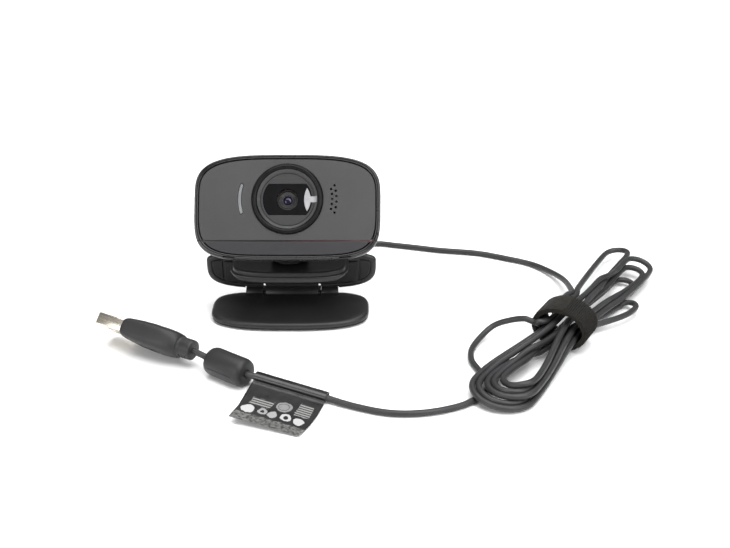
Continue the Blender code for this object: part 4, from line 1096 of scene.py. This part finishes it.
# Each loop's turning circle: (s, t, z) of its centre, its radius, and the tilt of its plane in degrees
NEAR_LOOPS = [
    (-45.9, 3.9, 2.7, 11.1, 6), (-46.1, 3.9, 3.2, 8.8, 6), (-43.8, 1.7, 4.6, 8.7, -2),
    (-44.1, 1.7, 5.2, 6.5, -3), (-42.0, 0.0, 6.4, 5.9, -10),
]
FAR_LOOPS = [
    (67.5, -6.8, 5.6, 5.6, 14), (35.0, -12.6, 2.8, 4.3, -8), (63.0, -6.2, 4.2, 4.5, 10),
    (54.0, -5.6, 2.4, 4.4, 4), (76.0, 5.2, 4.8, 5.0, -10),
]


# A loop's arc to each side of its farthest point
HALF_TURN = radians(100)


def turn_round(loop, end, first_side, steps=10):
    """Points round a loop's far side: end is 1 or -1 along the hank, first_side 1 for left first."""
    s, t, z, radius, tilt = loop
    across = Vector((0, cos(radians(tilt)), sin(radians(tilt))))
    points = []
    for i in range(steps + 1):
        angle = HALF_TURN * (1 - 2 * i / steps) * first_side
        aside = sin(angle) * radius * across
        points.append(Vector((s + cos(angle) * radius * end, t + aside.y, z + aside.z)))
    return points


def strand(start, start_ahead, stop, stop_ahead, spacing=6.0):
    """Points of a smooth curve between two places with given directions, both ends left out."""
    reach = (stop - start).length
    count = max(3, round(reach / spacing))
    points = []
    for i in range(1, count):
        u = i / count
        points.append(
            (2 * u**3 - 3 * u**2 + 1) * start + (u**3 - 2 * u**2 + u) * reach * start_ahead
            + (3 * u**2 - 2 * u**3) * stop + (u**3 - u**2) * reach * stop_ahead
        )
    return points


def hank_route():
    """The wound part: in at the tie, five loops at each end in turn, and out at the tie."""
    places = [Vector((0, t, z)) for t, z in TIE_PLACES]
    turns = []
    for near, far in zip(NEAR_LOOPS, FAR_LOOPS):
        turns += [(-1, turn_round(near, -1, 1)), (1, turn_round(far, 1, -1))]
    route = [places[0]]
    for (end, arc), place, following in zip(turns, places, places[1:]):
        outward = Vector((end, 0, 0))
        arriving, leaving = (arc[1] - arc[0]).normalized(), (arc[-1] - arc[-2]).normalized()
        route += strand(place, outward, arc[0], arriving) + arc
        route += strand(arc[-1], leaving, following, -outward) + [following]
    return [in_hank(*point) for point in route]


def settled(points, fixed_start, fixed_end, rounds=90):
    """Pushes touching strands apart and keeps them off the table and inside the tie."""
    push_share, smoothing, hold = 0.5, 0.20, 0.02
    in_tie_reach = TIE_WIDTH * 0.62
    line = np.array([tuple(point) for point in points])
    start = line.copy()
    index = np.arange(len(line))
    thick = 2 * CORD_RADIUS
    reach = int(4 * thick / CORD_SPACING)
    free = ((index > fixed_start) & (index < len(line) - fixed_end)).astype(float)[:, None]
    axis = np.array([cos(TIE_HEADING), sin(TIE_HEADING), 0])
    side = np.array([-sin(TIE_HEADING), cos(TIE_HEADING), 0])
    centre = np.array(TIE_CENTRE)
    half_span = TIE_HALF_SPAN - TIE_THICKNESS - CORD_RADIUS
    half_rise = TIE_HALF_RISE - TIE_THICKNESS - CORD_RADIUS
    apart = np.abs(index[:, None] - index[None, :]) > reach
    for _ in range(rounds):
        away = line[:, None, :] - line[None, :, :]
        distance = np.linalg.norm(away, axis=2) + 1e-9
        close = apart & (distance < thick)
        push = np.where(close, (thick - distance) / distance, 0)[:, :, None] * away
        hits = close.sum(axis=1)[:, None] + 1e-9
        line += free * push_share * push.sum(axis=1) / np.maximum(hits, 1)
        smooth = line.copy()
        smooth[1:-1] = 0.25 * line[:-2] + 0.5 * line[1:-1] + 0.25 * line[2:]
        line += free * smoothing * (smooth - line)
        line += free * hold * (start - line)
        line[:, 2] = np.maximum(line[:, 2], CORD_RADIUS + 0.0001)
        offset = line - centre
        in_tie = np.abs(offset @ axis) < in_tie_reach
        t, z = offset @ side, offset[:, 2]
        out = np.sqrt((t / half_span) ** 2 + (z / half_rise) ** 2)
        pull = np.where(in_tie & (out > 1), 1 / np.maximum(out, 1), 1)
        line += ((pull - 1) * t)[:, None] * side * free
        line[:, 2] += ((pull - 1) * z) * free[:, 0]
    return [Vector(point) for point in line]


def make_cord():
    """One cord from the clip's wall through the hank and the bead to the plug."""
    route = [*LEAD_ROUTE, in_hank(*LEAD_END), *hank_route(), in_hank(*LOOP_START), *LOOP_ROUTE, *TAIL_ROUTE]
    lead_count = len(smooth_route(LEAD_ROUTE, CORD_SPACING))
    tail_count = len(smooth_route(LOOP_ROUTE + TAIL_ROUTE, CORD_SPACING))
    points = settled(smooth_route(route, CORD_SPACING), lead_count, tail_count)
    inside_grip = PLUG_START + PLUG_AHEAD * 0.002
    bend = [BEAD_START, BEAD_END, BEAD_END.lerp(PLUG_START, 0.5), inside_grip]
    points += smooth_route(bend, CORD_SPACING)[1:]
    data = bpy.data.curves.new("usb_cord", "CURVE")
    data.dimensions = "3D"
    data.bevel_depth = CORD_RADIUS
    data.bevel_resolution = 4
    data.use_fill_caps = True
    add_line(data, points).use_smooth = True
    data.materials.append(CORD)
    cord = placed("usb_cord", data)
    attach(cord, "clip")
    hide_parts("cord_lead", "cord_side_loop", "cord_tail", "cord_end", "hank")
    length = sum((b - a).length for a, b in zip(points, points[1:]))
    return cord, length


def make_relief():
    """A tapered boot with three rings, which guards the cord where it leaves the wall."""
    profile = [(0, 0), (0.0032, 0), (0.0032, 0.0009), (0.0028, 0.0012)]
    for k in range(3):
        start = 0.0018 + 0.0021 * k
        r = 0.0026 - 0.00022 * k
        neck = r - 0.0005
        profile += [(neck, start), (neck, start + 0.0005), (r, start + 0.0007), (r, start + 0.0016)]
    profile += [(0.0017, 0.0084), (0.0015, RELIEF_LENGTH), (0, RELIEF_LENGTH)]
    start = WALL_FRONT + WALL_THICKNESS + GAP / 3
    place = Matrix.Translation((RELIEF_X, start, RELIEF_Z)) @ Matrix.Rotation(-pi / 2, 4, "X")
    return piece("relief_boot", turned(profile, 64), RUBBER, "clip", ["strain_relief"], place)


def make_tie():
    """The strap: a rounded band, ribbed where it isn't covered by its smooth flap."""
    # (share of the width, share of the thickness)
    section = [
        (-0.5, 0.15), (-0.5, 0.85), (-0.44, 1.0), (-0.2, 1.0), (0.0, 1.0), (0.2, 1.0), (0.44, 1.0),
        (0.5, 0.85), (0.5, 0.15), (0.44, 0.0), (0.0, 0.0), (-0.44, 0.0),
    ]
    count = 620
    flap_start, flap_end, flap_height = 28, 98, 0.00045
    rib_height, ribs = 0.0007, 42
    inner_span, inner_rise = TIE_HALF_SPAN - TIE_THICKNESS, TIE_HALF_RISE - TIE_THICKNESS
    lowest = 0.0002 - TIE_CENTRE.z
    rings = []
    for i in range(count):
        angle = tau * i / count
        degrees = 360 * i / count
        if flap_start < degrees < flap_end:
            edge = min(degrees - flap_start, flap_end - degrees)
            extra = flap_height * min(1, edge / 3)
        else:
            extra = rib_height * (abs(sin(angle * ribs)) - 0.5)
        ring = []
        for along_share, up_share in section:
            level = TIE_THICKNESS * up_share + (extra if up_share > 0.5 else 0)
            z = max((inner_rise + level) * sin(angle), lowest)
            ring.append((along_share * TIE_WIDTH, (inner_span + level) * cos(angle), z))
        rings.append(ring)
    place = Matrix.Translation(TIE_CENTRE) @ TIE_TURN
    return piece("cord_strap", loft(rings, True), TIE, "clip", ["cord_tie"], place, 50)


def make_bead():
    """The bead's case: rounded ends with collars, and a fine split line along each side."""
    r, length = FERRITE_RADIUS, FERRITE_LENGTH
    half = [(0.0013, 0.0002), (0.0016, 0.0), (0.0036, 0.0), (0.0042, 0.0002), (0.0046, 0.0006),
            (0.0049, 0.0012), (r, 0.0020)]
    profile = half + [(radius, length - height) for radius, height in reversed(half)]
    place = along(BEAD_START, BEAD_AHEAD)
    bead = piece("bead_case", turned(profile, 96, True), MOULD, "clip", ["ferrite_bead"], place, 40)
    depth, half_width, end = 0.00012, 0.00012, 0.0030
    for side in (-1, 1):
        carved(bead, box((side * r - depth, -half_width, end), (side * r + depth, half_width, length - end)))
    return bead


def make_label():
    """A folded flag label, wrapped round the cord, its leaf drooping a little towards the table."""
    start, stop = Vector(TAIL_ROUTE[8]), Vector(TAIL_ROUTE[12])
    ahead = (stop - start).normalized()
    across = Vector((-ahead.y, ahead.x, 0)).normalized()
    up = ahead.cross(across)
    inner, outer = CORD_RADIUS + 0.00012, CORD_RADIUS + 0.00042
    wrap_start, wrap_reach, wrap_steps = 20, 320, 28
    wrap = [radians(wrap_start + wrap_reach * i / wrap_steps) for i in range(wrap_steps + 1)]
    half_sheet, wave_height, sag, bow = 0.00009, 0.00035, 0.00045, 0.0008
    steps, rows = 24, 20
    shares = [k / steps for k in range(1, steps + 1)]

    def stretched(x):
        return 1.9 * x if x < 0 else x

    rings = []
    for row in range(rows + 1):
        z = LABEL_LENGTH * (row / rows - 0.5)
        wave = wave_height * sin(row / rows * pi * 1.3 + 0.6)
        leaf = [outer * cos(wrap[-1]) + (LABEL_WIDTH - outer) * share for share in shares]
        droop = [-0.0010 - sag * share + wave * share**2 for share in shares]
        narrowed = [z * (1 - 0.06 * share) - bow * sin(pi * share) + LABEL_SHIFT for share in shares]
        edge = list(zip(leaf, droop, narrowed))
        z += LABEL_SHIFT
        ring = [(stretched(outer * cos(a)), outer * sin(a), z) for a in wrap]
        ring += [(x, y - half_sheet, length) for x, y, length in edge]
        ring += [(x, y + half_sheet, length) for x, y, length in reversed(edge)]
        ring += [(stretched(inner * cos(a)), inner * sin(a), z) for a in reversed(wrap)]
        rings.append(ring)
    turn = Matrix((across, up, ahead)).transposed().to_4x4()
    place = Matrix.Translation((start + stop) / 2) @ turn
    return piece("flag_label", loft(rings), LABEL, "clip", ["cord_label"], place, 40)


def make_plug():
    """The plug: a grip that widens from a ribbed collar, and a folded shell with four windows."""
    side = Vector((-PLUG_AHEAD.y, PLUG_AHEAD.x, 0)).normalized()
    turn = Matrix((side, PLUG_AHEAD.cross(side), PLUG_AHEAD)).transposed().to_4x4()
    place = Matrix.Translation(PLUG_START + PLUG_AHEAD * GAP) @ turn @ Matrix.Rotation(PLUG_ROLL, 4, "Z")
    # (distance, half width, half height, corner power)
    sections = [
        (0.0, 0.0030, 0.0030, 2.0), (0.0004, 0.0036, 0.0036, 2.0), (0.0030, 0.0037, 0.0037, 2.0),
        (0.0052, 0.0037, 0.0037, 2.0), (0.0058, 0.0044, 0.0041, 2.3), (0.0075, 0.0054, 0.0045, 2.8),
        (0.0110, 0.0063, 0.0047, 3.2), (0.0160, 0.0066, 0.0047, 3.6), (0.0215, 0.0067, 0.0044, 4.0),
        (0.0262, 0.0067, 0.0039, 4.2), (0.0278, 0.0066, 0.0036, 4.2),
        (PLUG_BODY_LENGTH, 0.0063, 0.0032, 4.0),
    ]
    rings = []
    for distance, half_width, half_height, power in through([np.array(row) for row in sections], 4):
        outline = bulged(half_width, half_height, half_height, power, power, 72)
        rings.append([(x, y, distance) for x, y in outline])
    grip = piece("plug_grip", loft(rings), MOULD, "clip", ["plug_overmould"], place, 40)
    # (distance, half width, nearest and farthest from the middle, length, rounding)
    hollows = [(0.0013 + 0.0013 * k, 0.0022, 0.0031, 0.0046, 0.0005, 0.0001) for k in range(3)]
    hollows.append((0.0130, 0.0040, 0.0042, 0.0055, 0.0085, 0.0002))
    for z, half, near, far, tall, rounding in hollows:
        for face in (-1, 1):
            carved(grip, box((-half, face * near, z), (half, face * far, z + tall), rounding))
    low, beyond = PLUG_BODY_LENGTH, PLUG_BODY_LENGTH + 0.02
    half_w, half_h, wall = SHELL_WIDTH / 2, SHELL_HEIGHT / 2, 0.0003
    outside = half_h + 0.001
    shell_shape = box((-half_w, -half_h, low - 0.0004), (half_w, half_h, low + SHELL_LENGTH), 0.0005, 3)
    shell = piece("plug_sleeve", shell_shape, SHELL, "clip", ["plug_shell"], place)
    room = box((-half_w + wall, -half_h + wall, low + 0.001), (half_w - wall, half_h - wall, beyond), 0.0003)
    carved(shell, room)
    for x in (-0.0032, 0.0032):
        carved(shell, box((x - 0.0011, -outside, low + 0.0052), (x + 0.0011, outside, low + 0.0073), 0.0002))
    carved(shell, box((-0.00006, -outside, low + 0.0006), (0.00006, -half_h + 0.00012, beyond)))
    return [grip, shell]


# ---------------------------------------------------------------- carried-over nodes and stage

# The CAD nodes that show as they are, with their materials
CARRIED = {
    "focus_coil": COPPER, "focus_magnet": STEEL, "main_board": BOARD, "image_sensor": CHIP, "usb_chip": CHIP,
    "status_light": LIGHT, "microphone": STEEL, "microphone_boot": RUBBER, "tilt_pin": STEEL,
    "swivel_bolt": STEEL, "retaining_ring": STEEL, "foot_hinge_pin": STEEL, "clip_spring": STEEL,
    "foot_sole": RUBBER, "plug_insert": INSERT,
}


def finish_carried():
    for name, look in CARRIED.items():
        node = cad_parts[name]
        if node.material_slots:
            node.material_slots[0].material = look
        else:
            node.data.materials.append(look)


def make_floor():
    shape = bmesh.new()
    bmesh.ops.create_grid(shape, x_segments=8, y_segments=8, size=4)
    mesh = mesh_from("floor", shape)
    look = Look("floor_white", 0.9, 0.1)
    mesh.materials.append(look.painted(look.ramp(look.noise(0.2), [(DARK_STOP, 0.90), (LIGHT_STOP, 0.93)])))
    placed("floor", mesh)


def area_light(name, place, aim, size, power):
    data = bpy.data.lights.new(name, "AREA")
    data.shape = "RECTANGLE"
    data.size, data.size_y = size
    data.energy = power
    light = placed(name, data)
    light.location = place
    light.rotation_euler = (Vector(aim) - Vector(place)).to_track_quat("-Z", "Y").to_euler()


def make_lights():
    world = bpy.data.worlds.new("studio")
    bpy.context.scene.world = world
    world.use_nodes = True
    sky = world.node_tree.nodes["Background"]
    sky.inputs["Color"].default_value = (1, 1, 1, 1)
    sky.inputs["Strength"].default_value = 0.22
    area_light("top", (0.1, 0.0, 1.3), (0.04, 0.0, 0), (1.6, 1.3), 30)
    area_light("key", (0.42, -0.62, 0.92), (0, 0, 0.04), (0.35, 0.35), 3.2)
    area_light("front_left", (-0.9, -0.9, 0.55), (0, 0, 0.03), (0.9, 0.7), 9)
    area_light("front_right", (1.0, -0.8, 0.75), (0.03, 0, 0.03), (0.9, 0.7), 9)
    bpy.context.scene.view_settings.view_transform = "Standard"


def make_camera():
    data = bpy.data.cameras.new("camera")
    data.sensor_width = SENSOR_WIDTH
    data.lens = FOCAL_LENGTH
    data.clip_start = 0.01
    camera = placed("camera", data)
    camera.location = CAMERA_PLACE
    camera.rotation_euler = (radians(90 - CAMERA_ELEVATION), 0, 0)
    bpy.context.scene.camera = camera


make_camera()
make_lights()
make_floor()
finish_carried()
make_cover()
make_bezel()
make_face()
make_head_screws()
make_lens_front()
make_barrel()
make_turntable()
make_platform()
make_wall()
make_pads()
make_foot()
relief = make_relief()
cord, cord_length = make_cord()
tie = make_tie()
bead = make_bead()
label = make_label()
plug = make_plug()
